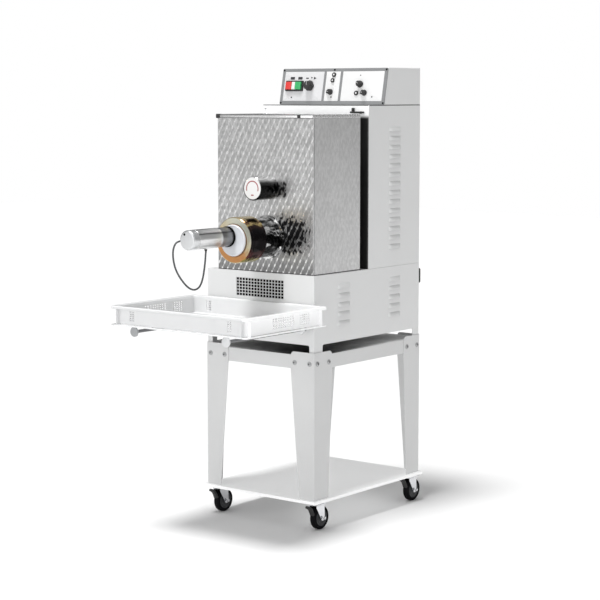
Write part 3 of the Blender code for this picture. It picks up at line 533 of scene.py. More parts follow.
def pearl_side():
    """The hopper's sides: the same discs on lighter steel, with faint painted glints as if seen edge-on to the
    light.
    """
    made, _, shaded, glint, ring_lines = pearl("pearl_side", 1, 0.58, 1.7, 0.35)
    made.paint("Base Color", made.mix(glint * 0.22, shaded, (0.82,) * 3))
    made.paint("Roughness", 0.42 - glint * 0.06)
    made.bump(ring_lines, 0.06, 0.0003)
    return made


def brushed(name, colour, roughness, stretch, depth=0.16, scale=240.0):
    """Metal with grinding lines drawn out along one axis."""
    made = Finish(name, roughness, 1.0)
    lines = made.noise(scale, stretch=stretch, detail=5.0)
    clouds = made.noise(9.0, detail=2.0)
    tone = made.mix(lines, tinted(colour, 1 - depth), tinted(colour, 1 + depth))
    made.paint("Base Color", made.mix(clouds * 0.3, tone, tinted(colour, 0.7)))
    made.paint("Roughness", roughness - 0.06 + lines * 0.14)
    made.bump(lines, 0.10, 0.0003)
    return made


def stainless():
    return brushed("stainless", (0.60, 0.60, 0.61), 0.30, (40, 1, 1))


def bright_steel():
    return brushed("bright_steel", (0.86, 0.86, 0.86), 0.26, (40, 1, 1), depth=0.08)


def inner_steel():
    return brushed("inner_steel", (0.52, 0.52, 0.53), 0.36, (1, 30, 1))


def rod_steel():
    return brushed("rod_steel", (0.20, 0.20, 0.21), 0.28, (1, 40, 1))


def disc_steel():
    return brushed("disc_steel", (0.45, 0.46, 0.47), 0.42, (30, 1, 1))


def polished(name, roughness, centre, stops, wobble, coat=0.0):
    """Turned metal about an axis along Y, with painted reflections. Its tone follows the angle round the axis,
    from straight down to straight up on both flanks, and noise drawn out along the axis breaks the bands up."""
    made = Finish(name, roughness, 1.0, coat_weight=coat, coat_roughness=0.1)
    x, y, z = made.axes()
    round_axis = (z - centre[1]).angle_to(abs(x - centre[0])) / math.pi + 0.5
    ripple = made.noise(34.0, stretch=(1, 2.6, 1), detail=3.0) - 0.5
    # Painted reflection bands, by the angle round the axis
    tone = made.ramp(round_axis + ripple * wobble, stops)
    made.bump(made.noise(300.0, stretch=(1, 0.05, 1)), 0.04, 0.0002)
    return made, y, tone


def nut_side():
    """The brass nut's flank: painted dark reflections between painted bands of bright gold."""
    brass = tuple(bpy.context.scene.extruder_head.brass)
    stops = (
        (0.00, tinted(brass, 0.8)),
        (0.10, (0.52, 0.46, 0.14)),
        (0.20, (0.40, 0.33, 0.08)),
        (0.27, (0.09, 0.02, 0.02)),
        (0.38, (0.012, 0.010, 0.010)),
        (0.60, (0.012, 0.010, 0.012)),
        (0.70, (0.05, 0.025, 0.02)),
        (0.75, (0.80, 0.62, 0.27)),
        (0.82, (0.13, 0.05, 0.03)),
        (0.90, (0.80, 0.66, 0.38)),
        (1.00, tinted(brass, 1.2)),
    )
    made, _, tone = polished("nut_side", 0.16, (NUT_X, NUT_Z), stops, 0.42)
    made.paint("Base Color", tone)
    return made


def nut_face():
    """The nut's front: pale brass that turns coppery towards the lower left, partly its own colour and partly
    painted reflection.
    """
    head = bpy.context.scene.extruder_head
    brass, bronze = tuple(head.brass), tuple(head.bronze)
    made = Finish("nut_face", 0.30, 1.0)
    x, _, z = made.axes()
    # Partly the metal's own colour and partly painted reflection: coppery to the lower left, pale to the upper
    # right
    low_left = ((NUT_X - x) * 0.55 + (NUT_Z - z) * 0.85) / 0.076
    patches = made.noise(60.0, detail=4.0)
    copper = (low_left + (patches - 0.5) * 0.9).rise(-0.15, 0.35)
    pale = (low_left + (patches - 0.5) * 0.5).rise(-0.75, 0.05)
    metal = made.mix(pale, (0.66, 0.66, 0.56), brass)
    made.paint("Base Color", made.mix(copper, metal, bronze))
    made.paint("Roughness", 0.24 + patches * 0.22)
    made.bump(made.noise(240.0), 0.06, 0.0003)
    return made


def bronze():
    """The die plate: bronze with darker cloudy patches."""
    colour = tuple(bpy.context.scene.extruder_head.bronze)
    made = Finish("bronze", 0.34, 1.0)
    patches = made.noise(46.0, detail=4.0)
    made.paint("Base Color", made.mix(patches, tinted(colour, 1.3), tinted(colour, 0.7)))
    made.paint("Roughness", 0.26 + patches * 0.2)
    made.bump(made.noise(260.0), 0.05, 0.0003)
    return made


def barrel_steel():
    """The barrel's collar: mirror steel with painted reflections, dark bands and bright patches."""
    stops = (
        (0.00, 0.80),
        (0.10, 0.62),
        (0.17, 0.05),
        (0.26, 0.45),
        (0.32, 0.015),
        (0.55, 0.012),
        (0.62, 0.85),
        (0.69, 0.04),
        (0.78, 0.55),
        (0.86, 0.10),
        (1.00, 0.90),
    )
    made, _, tone = polished("barrel_steel", 0.12, (NUT_X, NUT_Z), stops, 0.40)
    # Painted reflections: dark shards and bright patches
    shards = made.noise(44.0, stretch=(1, 1.8, 1), detail=3.0)
    dark = made.mix(shards.rise(0.30, 0.42), (0.01, 0.01, 0.012), tone)
    made.paint("Base Color", made.mix(shards.rise(0.58, 0.64), dark, (0.92, 0.92, 0.92)))
    return made


def chrome():
    """The lock knob's flank: painted reflections, white above and black below."""
    stops = ((0.0, 0.03), (0.15, 0.012), (0.56, 0.012), (0.66, 0.10), (0.72, 0.62), (0.80, 0.95), (1.0, 0.92))
    made, _, tone = polished("chrome", 0.10, (KNOB_X, KNOB_Z), stops, 0.10)
    made.paint("Base Color", tone)
    return made


def tube_aluminium():
    """Satin aluminium of the cutter motor with painted reflection bands, and painted shade where it comes close to
    the nut.
    """
    stops = (
        (0.00, 0.50),
        (0.08, 0.86),
        (0.22, 0.90),
        (0.30, 0.62),
        (0.50, 0.86),
        (0.64, 0.72),
        (0.69, 0.10),
        (0.73, 0.66),
        (0.90, 0.70),
        (0.97, 0.26),
        (1.00, 0.25),
    )
    made, y, tone = polished("tube_aluminium", 0.28, (TUBE_X, TUBE_Z), stops, 0.05)
    joint = MOTOR_HIGH[1] - TUBE_NECK
    # Painted shade near the nut
    shade = y.rise(joint - 0.006, joint + 0.004) * 0.72
    made.paint("Base Color", made.mix(shade, tone, (0.07, 0.072, 0.078)))
    return made


def cap_aluminium():
    return brushed("cap_aluminium", (0.78, 0.79, 0.80), 0.34, (1, 1, 6), depth=0.07)


def cast_iron():
    """Painted castings of the drive: a grainy grey skin."""
    made = Finish("cast_iron", 0.58, 0.35)
    grain = made.noise(420.0, detail=3.0)
    made.paint("Base Color", made.mix(grain, (0.12, 0.13, 0.14), (0.27, 0.28, 0.29)))
    made.paint("Roughness", 0.48 + grain * 0.25)
    made.bump(grain, 0.25, 0.0006)
    return made


def zinc():
    """Galvanised pressings with a fine spangle."""
    made = Finish("zinc", 0.34, 0.85)
    spangle = made.node("ShaderNodeTexVoronoi", inputs={"Vector": made.where, "Scale": 240.0}, output="Color")
    level = made.node("ShaderNodeSeparateColor", inputs={0: spangle})
    made.paint("Base Color", made.mix(level, (0.50, 0.51, 0.53), (0.80, 0.81, 0.82)))
    made.paint("Roughness", 0.26 + level * 0.2)
    made.bump(level, 0.08, 0.0003)
    return made


def bolt_steel():
    return brushed("bolt_steel", (0.52, 0.525, 0.53), 0.42, (1, 1, 1))


def moulded(name, colour, roughness, grain=620.0, depth=0.10, low=0.9, high=1.1, **constants):
    """Moulded plastic or rubber: a fine grain and a little unevenness of tone."""
    made = Finish(name, roughness, **constants)
    cloud = made.noise(18.0, detail=2.0)
    made.paint("Base Color", made.mix(cloud, tinted(colour, low), tinted(colour, high)))
    made.paint("Roughness", roughness - 0.05 + cloud * 0.1)
    made.bump(made.noise(grain, detail=2.0), depth, 0.0003)
    return made


def milky_plastic():
    """The tray's cloudy plastic. Its right end has a painted glow (emission) for light passing through, and its
    left wall, the dullest, has painted shade.
    """
    colour = tuple(bpy.context.scene.extruder_paint.tray)
    made = Finish("milky_plastic", 0.24, coat_weight=0.3, emission_strength=0.22)
    x, _, z = made.axes()
    under_rim = 1 - z.rise(TRAY_HIGH[2] - 0.012, TRAY_HIGH[2] - 0.008)
    # Painted shade on the left wall below the rim
    left = (1 - x.rise(TRAY_LOW[0] + 0.014, TRAY_LOW[0] + 0.020)) * under_rim
    right = x.rise(TRAY_HIGH[0] - 0.020, TRAY_HIGH[0] - 0.014)
    cloud = made.noise(18.0, detail=2.0)
    tone = made.mix(cloud, tinted(colour, 0.97), tinted(colour, 1.03))
    made.paint("Base Color", made.mix(left, tone, tinted(colour, 0.72)))
    # Painted glow at the right end
    made.paint("Emission Color", made.mix(right, (0.0, 0.0, 0.0), (1.0, 1.0, 1.0)))
    made.paint("Roughness", 0.19 + cloud * 0.1)
    made.bump(made.noise(620.0, detail=2.0), 0.05, 0.0003)
    return made


def disc_plastic():
    return moulded("disc_plastic", (0.80, 0.82, 0.86), 0.22, depth=0.03, low=0.97, high=1.03, coat_weight=0.4)


def knob_white():
    return moulded("knob_white", (0.88, 0.88, 0.88), 0.30, depth=0.03, low=0.98, high=1.02)


def black_plastic():
    colour = tuple(bpy.context.scene.extruder_paint.black)
    return moulded("black_plastic", colour, 0.45, low=0.6, high=1.4, specular_ior_level=0.06)


def red_plastic():
    colour = tuple(bpy.context.scene.extruder_paint.red)
    return moulded("red_plastic", colour, 0.35, depth=0.04, coat_weight=0.1)


def green_plastic():
    colour = tuple(bpy.context.scene.extruder_paint.green)
    return moulded("green_plastic", colour, 0.25, depth=0.04, coat_weight=0.4)


def lamp_plastic():
    return moulded("lamp_plastic", (0.86, 0.90, 0.86), 0.20, depth=0.03, low=0.96, high=1.04, coat_weight=0.4)


def red_print():
    return moulded("red_print", (0.34, 0.03, 0.035), 0.4, depth=0.03)


def dark_print():
    return moulded("dark_print", (0.035, 0.035, 0.04), 0.45, depth=0.03)


# Dark strips that stand for the shade in the housing joints: painted shade
def seam_rubber():
    return moulded("seam_rubber", (0.06, 0.06, 0.062), 0.6, depth=0.1, specular_ior_level=0.2)


def shadow_black():
    return moulded("shadow_black", (0.004, 0.004, 0.004), 0.8, depth=0.2, specular_ior_level=0.05)


def tyre_rubber():
    colour = (0.008, 0.008, 0.009)
    return moulded("tyre_rubber", colour, 0.7, 380.0, 0.25, 0.7, 1.5, specular_ior_level=0.04)


def hub_plastic():
    return moulded("hub_plastic", (0.045, 0.047, 0.05), 0.42, 500.0, 0.12, specular_ior_level=0.35)


def panel_white():
    return moulded("panel_white", (0.85, 0.85, 0.85), 0.35, depth=0.04, low=0.98, high=1.02)


def panel_grey():
    return moulded("panel_grey", (0.74, 0.74, 0.75), 0.35, depth=0.04, low=0.97, high=1.03)


def cable_jacket():
    """Grey jacket with a slight wave along it."""
    made = Finish("cable_jacket", 0.46)
    cloud = made.noise(60.0, detail=3.0)
    made.paint("Base Color", made.mix(cloud, (0.055, 0.058, 0.062), (0.13, 0.135, 0.14)))
    made.paint("Roughness", 0.38 + cloud * 0.18)
    made.bump(made.noise(700.0), 0.12, 0.0003)
    return made


FINISHES = {
    made.__name__: made
    for made in (
        white_enamel, column_front_painted_shade_and_glow, gap_plate, leg_enamel, leg_front, grille_enamel, shelf_enamel_painted_glow,
        grey_enamel, pearl_front, pearl_side, stainless, bright_steel, inner_steel, rod_steel,
        disc_steel, nut_side, nut_face, bronze, barrel_steel, chrome, tube_aluminium, cap_aluminium,
        cast_iron, zinc, bolt_steel, milky_plastic, disc_plastic, knob_white, black_plastic, red_plastic,
        green_plastic, lamp_plastic, red_print, dark_print, seam_rubber, shadow_black, tyre_rubber,
        hub_plastic, panel_white, panel_grey, cable_jacket,
    )
}


def finish(name):
    """The material of that name, made once."""
    return bpy.data.materials.get(name) or FINISHES[name]().material


# Surfaces


class Place:
    """A spot on the object. Local right, up and out become points of the row frame."""

    def __init__(self, origin, right=(1, 0, 0), up=(0, 0, 1)):
        self.origin = np.array(origin, float)
        self.axes = np.array((right, up, np.cross(right, up)), float)

    def __call__(self, points):
        return self.origin + np.asarray(points, float) @ self.axes


def front(x=0.0, z=0.0, y=MIDDLE_Y):
    """Looking at the front: right is +X, up is +Z, out is -Y. Out counts from the stand's middle."""
    return Place((x, y, z))


def right_side(y=0.0, z=0.0, x=0.0):
    return Place((x, y, z), (0, 1, 0))


def left_side(y=0.0, z=0.0, x=0.0):
    return Place((x, y, z), (0, -1, 0))


def rear(x=0.0, z=0.0, y=0.0):
    return Place((x, y, z), (-1, 0, 0))


def above(x=0.0, y=0.0, z=0.0):
    return Place((x, y, z), (1, 0, 0), (0, 1, 0))


FASCIA_FOOT = FASCIA_LOW[2] - 0.001
FASCIA_UP = np.array((0.0, 0.025, CONSOLE_HIGH[2] - FASCIA_FOOT))
FASCIA_UP /= np.linalg.norm(FASCIA_UP)


def on_fascia(x=0.0, height=0.0, out=0.0):
    """A spot on the sloping control panel, by its distance up the face."""
    foot = np.array((0.0, MIDDLE_Y + 0.085, COLUMN_HIGH[2]))
    normal = np.cross((1, 0, 0), FASCIA_UP)
    return Place(foot + np.array((x, 0, 0)) + height * FASCIA_UP + out * normal, (1, 0, 0), FASCIA_UP)


def eased(outline, radius, steps=3, closed=False):
    """Rounds each corner of an outline by a quadratic curve: (1-t)^2 of a point before it, 2t(1-t) of the
    corner and t^2 of a point after it, both at most radius away."""
    outline = np.array(outline, float)
    ring = np.concatenate([outline[-1:], outline, outline[:1]]) if closed else outline
    corner = ring[1:-1]
    ends = []
    for other in (ring[:-2], ring[2:]):
        way = other - corner
        length = np.maximum(np.linalg.norm(way, axis=1, keepdims=True), MERGE)
        ends.append(corner + way * np.minimum(radius / length, 0.49))
    t = np.linspace(0, 1, steps + 1)[None, :, None]
    curve = (1 - t) ** 2 * ends[0][:, None] + 2 * t * (1 - t) * corner[:, None] + t * t * ends[1][:, None]
    curve = curve.reshape(-1, outline.shape[1])
    return curve if closed else np.concatenate([outline[:1], curve, outline[-1:]])


def lathe(profile, steps=48):
    """Turns a profile: x = r cos a, y = r sin a, z = its height, for every point (r, height) and angle a."""
    profile = np.array(profile, float)
    angles = np.linspace(0, 2 * math.pi, steps, endpoint=False)
    radius, height = profile[:, :1], profile[:, 1:]
    return np.stack([radius * np.cos(angles), radius * np.sin(angles), height + 0 * angles], -1)


def corners(width, height, radius, steps=5):
    """A rectangle with round corners: each quarter circle stands on its own corner's centre."""
    signs = np.array(((1, 1), (-1, 1), (-1, -1), (1, -1)))
    centres = signs * (width / 2 - radius, height / 2 - radius)
    angles = np.radians(90 * np.arange(4)[:, None] + np.linspace(0, 90, steps + 1))
    circle = np.stack([np.cos(angles), np.sin(angles)], -1) * radius
    return (centres[:, None] + circle).reshape(-1, 2)


def slab(width, height, radius, levels, centre=(0, 0), steps=5):
    """Rings of a round-cornered rectangle, each drawn in and lifted by one of levels, closed at both ends."""
    rings = []
    for inset, lift in levels:
        ring = corners(width - 2 * inset, height - 2 * inset, max(radius - inset, 0.0001), steps) + centre
        rings.append(np.column_stack([ring, np.full(len(ring), lift)]))
    rings = np.array(rings)
    ends = [np.broadcast_to(ring.mean(0), ring.shape)[None] for ring in (rings[0], rings[-1])]
    return np.concatenate([ends[0], rings, ends[1]])


def soft_edge(low, high, edge, steps=3):
    """Levels of a slab whose outer edge is a quarter circle."""
    angles = np.radians(np.linspace(0, 90, steps + 1))
    bend = zip(edge * (1 - np.cos(angles)), high - edge + edge * np.sin(angles))
    return [(0.0, low), *bend]


def sweep(path, section, up=(0, 0, 1)):
    """Carries a section along a path: its x lies across the path and its y upright to both."""
    path, section = np.asarray(path, float), np.asarray(section, float)
    ahead = np.gradient(path, axis=0)
    across = np.cross(ahead, up)
    lift = np.cross(across, ahead)
    across /= np.linalg.norm(across, axis=1, keepdims=True)
    lift /= np.linalg.norm(lift, axis=1, keepdims=True)
    return path[:, None] + section[None, :, :1] * across[:, None] + section[None, :, 1:] * lift[:, None]


def circle(radius, steps=12):
    angles = np.linspace(0, 2 * math.pi, steps, endpoint=False)
    return np.stack([radius * np.cos(angles), radius * np.sin(angles)], -1)


class Shape:
    """Gathers grids of points into one mesh."""

    def __init__(self):
        self.points, self.faces, self.tints, self.count = [], [], [], 0

    def add(self, grid, place=None, round_rows=False, round_columns=True, keep=None, tint=0):
        """Adds quads between the rows and columns of a grid. A round direction joins its end to its start,
        keep drops quads, and tint is the number of their finish."""
        rows, columns = grid.shape[:2]
        index = np.arange(rows * columns).reshape(rows, columns) + self.count
        if round_rows:
            index = np.concatenate([index, index[:1]])
        if round_columns:
            index = np.concatenate([index, index[:, :1]], 1)
        quads = np.stack([index[:-1, :-1], index[:-1, 1:], index[1:, 1:], index[1:, :-1]], -1)
        quads = quads[keep] if keep is not None else quads.reshape(-1, 4)
        points = grid.reshape(-1, 3)
        self.points.append(place(points) if place else points)
        self.faces.append(quads)
        self.tints.append(np.full(len(quads), tint))
        self.count += len(points)
        return self

    def make(self, name, body, finishes, slot=None, replaces=(), closed=True, smooth=35):
        """Makes the piece: doubles are merged, and a closed shape's faces are turned outwards."""
        mesh = bpy.data.meshes.new(name)
        mesh.from_pydata(np.concatenate(self.points).tolist(), [], np.concatenate(self.faces).tolist())
        mesh.polygons.foreach_set("material_index", np.concatenate(self.tints))
        work = bmesh.new()
        work.from_mesh(mesh)
        bmesh.ops.remove_doubles(work, verts=work.verts, dist=MERGE)
        bmesh.ops.dissolve_degenerate(work, edges=work.edges, dist=MERGE)
        if closed:
            bmesh.ops.recalc_face_normals(work, faces=work.faces)
        work.to_mesh(mesh)
        work.free()
        return piece(name, mesh, body, finishes, replaces, smooth)


def piece(name, mesh, body, finishes, replaces=(), smooth=35):
    """An object that rides on a body, with its finishes and what it stands for."""
    for each in (finishes,) if isinstance(finishes, str) else finishes:
        mesh.materials.append(finish(each))
    mesh.shade_smooth()
    mesh.set_sharp_from_angle(angle=math.radians(smooth))
    made = bpy.data.objects.new(name, mesh)
    bpy.context.scene.collection.objects.link(made)
    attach(made, body)
    if replaces:
        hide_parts(*replaces)
    return made


def folded(node, finishes, body="machine", fold=None, choose=None, smallest=0.005):
    """A merged copy of a CAD node whose outer folds are rounded. choose gives a face's finish from its centre
    and its normal. Edges beside a strip narrower than smallest stay sharp."""
    mesh = frame["nodes"][node].data.copy()
    mesh.materials.clear()
    sheet = bmesh.new()
    sheet.from_mesh(mesh)
    bmesh.ops.remove_doubles(sheet, verts=sheet.verts, dist=MERGE * 10)
    bmesh.ops.dissolve_limit(sheet, angle_limit=math.radians(0.5), verts=sheet.verts, edges=sheet.edges)
    folds = [
        edge
        for edge in sheet.edges
        if len(edge.link_faces) == 2
        and edge.calc_face_angle_signed(0.0) > math.radians(30)
        and min(face.calc_area() for face in edge.link_faces) / edge.calc_length() > smallest
    ]
    radius = bpy.context.scene.extruder_sheet.fold if fold is None else fold
    bmesh.ops.bevel(
        sheet, geom=folds, offset=radius, segments=3, profile=0.5, affect="EDGES", clamp_overlap=True
    )
    if choose:
        for face in sheet.faces:
            face.material_index = choose(face.calc_center_median(), face.normal)
    sheet.to_mesh(mesh)
    sheet.free()
    made = piece(f"{node}_sheet", mesh, body, finishes, (node,), 40)
    weighted = made.modifiers.new("weighted", "WEIGHTED_NORMAL")
    weighted.keep_sharp = True
    return made


def dress(node, *finishes):
    """Gives a CAD node its finishes."""
    mesh = frame["nodes"][node].data
    mesh.materials.clear()
    for each in finishes:
        mesh.materials.append(finish(each))


WASHER_THICK = 0.0012


def dome(radius, height, washer=0.0):
    """The profile of a pan-head screw, on a washer if it has one: an arc from 15 to 90 degrees, as wide as
    the radius at its foot."""
    base = WASHER_THICK if washer else 0.0
    foot = [(washer, -SKIN), (washer, base), (radius, base)] if washer else [(radius, -SKIN)]
    angles = np.radians(np.linspace(15, 90, 6))
    wide = radius / math.cos(angles[0])
    head = [(wide * math.cos(angle), base + height * math.sin(angle)) for angle in angles]
    return [(0, -SKIN)] + foot + head


def screws(name, places, radius, height, finish_name, slot, body="machine", washer=0.0):
    """A group of screw heads, each with its cross recess drawn as a flat dark cross: painted shade."""
    shape = Shape()
    for place in places:
        shape.add(lathe(dome(radius, height, washer), 20), place)
        top = height + (WASHER_THICK if washer else 0.0)
        long, short = radius * 1.1, radius * 0.26
        for size in ((long, short), (short, long)):
            shape.add(slab(*size, 0.0002, ((0, top - 0.0006), (0, top + 0.00005)), steps=1), place, tint=1)
    return shape.make(name, body, (finish_name, "shadow_black"), slot)


BODY = {node: body for body, nodes in frame["record"]["behaviour"]["bodies"].items() for node in nodes}


def pivot(node):
    """Where the joint is that moves the node's body."""
    return next(joint for joint in frame["joints"] if joint["child"] == BODY[node])["pos_m"]


def capped(grid):
    """Closes both ends of a tube by drawing its first and last ring to their middles."""
    ends = [np.broadcast_to(ring.mean(0), ring.shape)[None] for ring in (grid[0], grid[-1])]
    return np.concatenate([ends[0], grid, ends[1]])


def plate(width, height, corner, thick, edge=0.0006, centre=(0, 0), low=0.0):
    """A thin plate with round corners and a soft front edge."""
    return slab(width, height, corner, soft_edge(low, low + thick, edge), centre)


# Stage


class BuildStage(bpy.types.Operator):
    """Sets out the floor, the lights, the studio's walls and the camera."""

    bl_idname = "extruder.stage"
    bl_label = "Stage"

    def execute(self, context):
        settings = context.scene.extruder_stage
        context.scene.view_settings.view_transform = "Standard"
        self.light("top_light", settings.top_light, towards=(0.05, 0.25, -1.0), width=15)
        self.light("key_light", settings.key_light, towards=(0.16, 0.95, -0.15), width=45)
        self.sky(context.scene, settings.ambient)
        self.floor()
        data = bpy.data.cameras.new("camera")
        data.lens, data.sensor_width = settings.lens, 36.0
        data.clip_end = 100.0
        camera = bpy.data.objects.new("camera", data)
        camera.location, camera.rotation_euler = settings.place, settings.turn
        context.scene.collection.objects.link(camera)
        context.scene.camera = camera
        return {"FINISHED"}

    def light(self, name, strength, towards, width):
        """A far lamp that shines along a direction and is width degrees across, so its shadows are soft."""
        data = bpy.data.lights.new(name, "SUN")
        data.energy, data.angle = strength, math.radians(width)
        lamp = bpy.data.objects.new(name, data)
        ahead = np.array(towards) / np.linalg.norm(towards)
        lamp.rotation_euler = (math.acos(-ahead[2]), 0.0, math.atan2(-ahead[0], ahead[1]))
        bpy.context.scene.collection.objects.link(lamp)

    def sky(self, scene, ambient):
        """White walls that light the object unevenly: brightest overhead, to the front and to the right."""
        scene.world = bpy.data.worlds.new("studio")
        scene.world.use_nodes = True
        nodes = Nodes(scene.world.node_tree)
        ways = nodes.node("ShaderNodeTexCoord", output="Generated")
        split = nodes.node("ShaderNodeSeparateXYZ", inputs={0: ways}).socket.node
        right, ahead, up = (Value(nodes, socket) for socket in split.outputs)
        level = up * 0.30 + 0.75 - ahead * 0.36 + right * 0.20
        direct = nodes.node("ShaderNodeLightPath", output="Is Camera Ray")
        strength = level * ambient * (1 - direct) + direct
        back = nodes.tree.nodes["Background"]
        nodes.feed(back.inputs["Color"], (1.0, 1.0, 1.0))
        nodes.feed(back.inputs["Strength"], strength)

    def floor(self):
        """A pale plain floor: a flat square grid just under the castors."""
        count = 9
        reach = np.linspace(-14.0, 14.0, count)
        x, y = np.meshgrid(reach, reach)
        grid = np.stack([x, y, np.full_like(x, -0.0004)], -1)
        mesh = bpy.data.meshes.new("floor")
        index = np.arange(count * count).reshape(count, count)
        quads = np.stack([index[:-1, :-1], index[:-1, 1:], index[1:, 1:], index[1:, :-1]], -1)
        mesh.from_pydata(grid.reshape(-1, 3).tolist(), [], quads.reshape(-1, 4).tolist())
        made = Finish("floor_white", 0.9)
        made.paint("Base Color", made.mix(made.noise(1.5), (0.86, 0.86, 0.86), (0.90, 0.90, 0.90)))
        mesh.materials.append(made.material)
        floor = bpy.data.objects.new("floor", mesh)
        bpy.context.scene.collection.objects.link(floor)


# Cutter lead

# Its route from the gland in the motor's cap to the tube's underside, from the stand's middle
LEAD_ROUTE = (
    (-0.0243, -0.668, 0.9850),
    (-0.0263, -0.668, 0.9850),
    (-0.0283, -0.668, 0.9850),
    (-0.0345, -0.683, 0.9780),
    (-0.0345, -0.696, 0.9560),
    (-0.0310, -0.699, 0.9250),
    (-0.0260, -0.692, 0.8920),
    (-0.0190, -0.673, 0.8590),
    (-0.0110, -0.650, 0.8340),
    (-0.0050, -0.630, 0.8260),
    (0.0010, -0.613, 0.8330),
    (0.0060, -0.602, 0.8570),
    (0.0095, -0.594, 0.9040),
    (0.0110, -0.590, 0.9482),
    (0.0110, -0.590, 0.9502),
    (0.0110, -0.590, 0.9522),
)


def smooth_route(points, steps):
    """Cubic Hermite spans through the points. Each slope is the step from the point before to the point
    after, over the distance walked between them."""
    points = np.array(points, float)
    spans = np.linalg.norm(np.diff(points, axis=0), axis=1)
    first, last = (points[1:2] - points[:1]) / spans[0], (points[-1:] - points[-2:-1]) / spans[-1]
    inner = (points[2:] - points[:-2]) / (spans[:-1] + spans[1:])[:, None]
    slopes = np.concatenate([first, inner, last])
    t = np.linspace(0, 1, steps, endpoint=False)[None, :, None]
    starts, ends = points[:-1, None], points[1:, None]
    leave, arrive = (slopes[:-1] * spans[:, None])[:, None], (slopes[1:] * spans[:, None])[:, None]
    route = (2 * t**3 - 3 * t**2 + 1) * starts + (t**3 - 2 * t**2 + t) * leave
    route = route + (3 * t**2 - 2 * t**3) * ends + (t**3 - t**2) * arrive
    return np.concatenate([route.reshape(-1, 3), points[-1:]])


class BuildLead(bpy.types.Operator):
    """Lays the cutter motor's lead and its two glands."""

    bl_idname = "extruder.lead"
    bl_label = "Cutter lead"

    def execute(self, context):
        settings = context.scene.extruder_lead
        route = smooth_route(np.array(LEAD_ROUTE) + (0, MIDDLE_Y, 0), settings.steps)
        curve = bpy.data.curves.new("lead_jacket", "CURVE")
        curve.dimensions = "3D"
        curve.bevel_depth = settings.diameter / 2
        curve.bevel_resolution = 6
        curve.use_fill_caps = True
        line = curve.splines.new("POLY")
        line.points.add(len(route) - 1)
        line.points.foreach_set("co", np.column_stack([route, np.ones(len(route))]).ravel())
        line.use_smooth = True
        curve.materials.append(finish("cable_jacket"))
        jacket = bpy.data.objects.new("lead_jacket", curve)
        context.scene.collection.objects.link(jacket)
        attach(jacket, "machine")
        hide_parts("cutter_lead")
        inner = settings.diameter / 2 - SKIN
        bush = ((inner, -0.0030), (0.0048, -0.0030), (0.0048, 0.0006), (0.0040, 0.0012), (0.0036, 0.0032))
        bush = lathe(eased(bush + ((inner, 0.0036),), 0.0008, closed=True), 28)
        for name, spot, right, up in (
            ("lead_gland_cap", route[0], (0, -1, 0), (0, 0, 1)),
            ("lead_gland_tube", route[-1], (1, 0, 0), (0, -1, 0)),
        ):
            shape = Shape().add(bush, Place(spot, right, up), round_rows=True)
            shape.make(name, "machine", "black_plastic", "black_plastic")
        return {"FINISHED"}


# Stand


class BuildStand(bpy.types.Operator):
    """Makes the legs, beams and shelf from folded sheet, with their bolts."""

    bl_idname = "extruder.stand"
    bl_label = "Stand"

    def execute(self, context):
        sheet = context.scene.extruder_sheet
        folds = {f"leg_{corner}": sheet.leg_fold for corner in CORNERS}
        folds |= {f"beam_{side}": sheet.fold for side in ENDS + SIDES}
        for name, fold in folds.items():
            finishes = ("leg_enamel", "leg_front")
            # Faces that look to the front take the darker copy, painted shade
            folded(name, finishes, fold=fold, choose=lambda _, normal: int(normal.y < -0.9))
        under = SHELF_HIGH[2] - 0.0105
        # The shelf takes the lighter enamel with its painted glow, and its underside takes zinc
        folded(
            "bottom_shelf",
            ("shelf_enamel_painted_glow", "zinc"),
            choose=lambda centre, normal: int(centre.z < under),
            smallest=0.0045,
        )
        # The plate under the cabinet takes the finish with painted shade
        dress("stand_top", "gap_plate")
        self.bolts(sheet.bolt)
        return {"FINISHED"}

    def bolts(self, radius):
        """Two pan heads on each face of each leg, level with the beams."""
        low, high = span("leg_front_left")[0], span("leg_rear_right")[1]
        beam_low, beam_high = span("beam_front")
        level = (beam_low[2] + beam_high[2]) / 2 - 0.0025
        places = []
        for inset in (0.019, 0.081):
            for x in (low[0] + inset, high[0] - inset):
                places += [front(x, level, low[1]), rear(x, level, high[1])]
            for y in (low[1] + inset, high[1] - inset):
                places += [left_side(y, level, low[0]), right_side(y, level, high[0])]
        screws("leg_bolts", places, radius, 0.0034, "bolt_steel", "zinc", washer=radius + 0.0026)


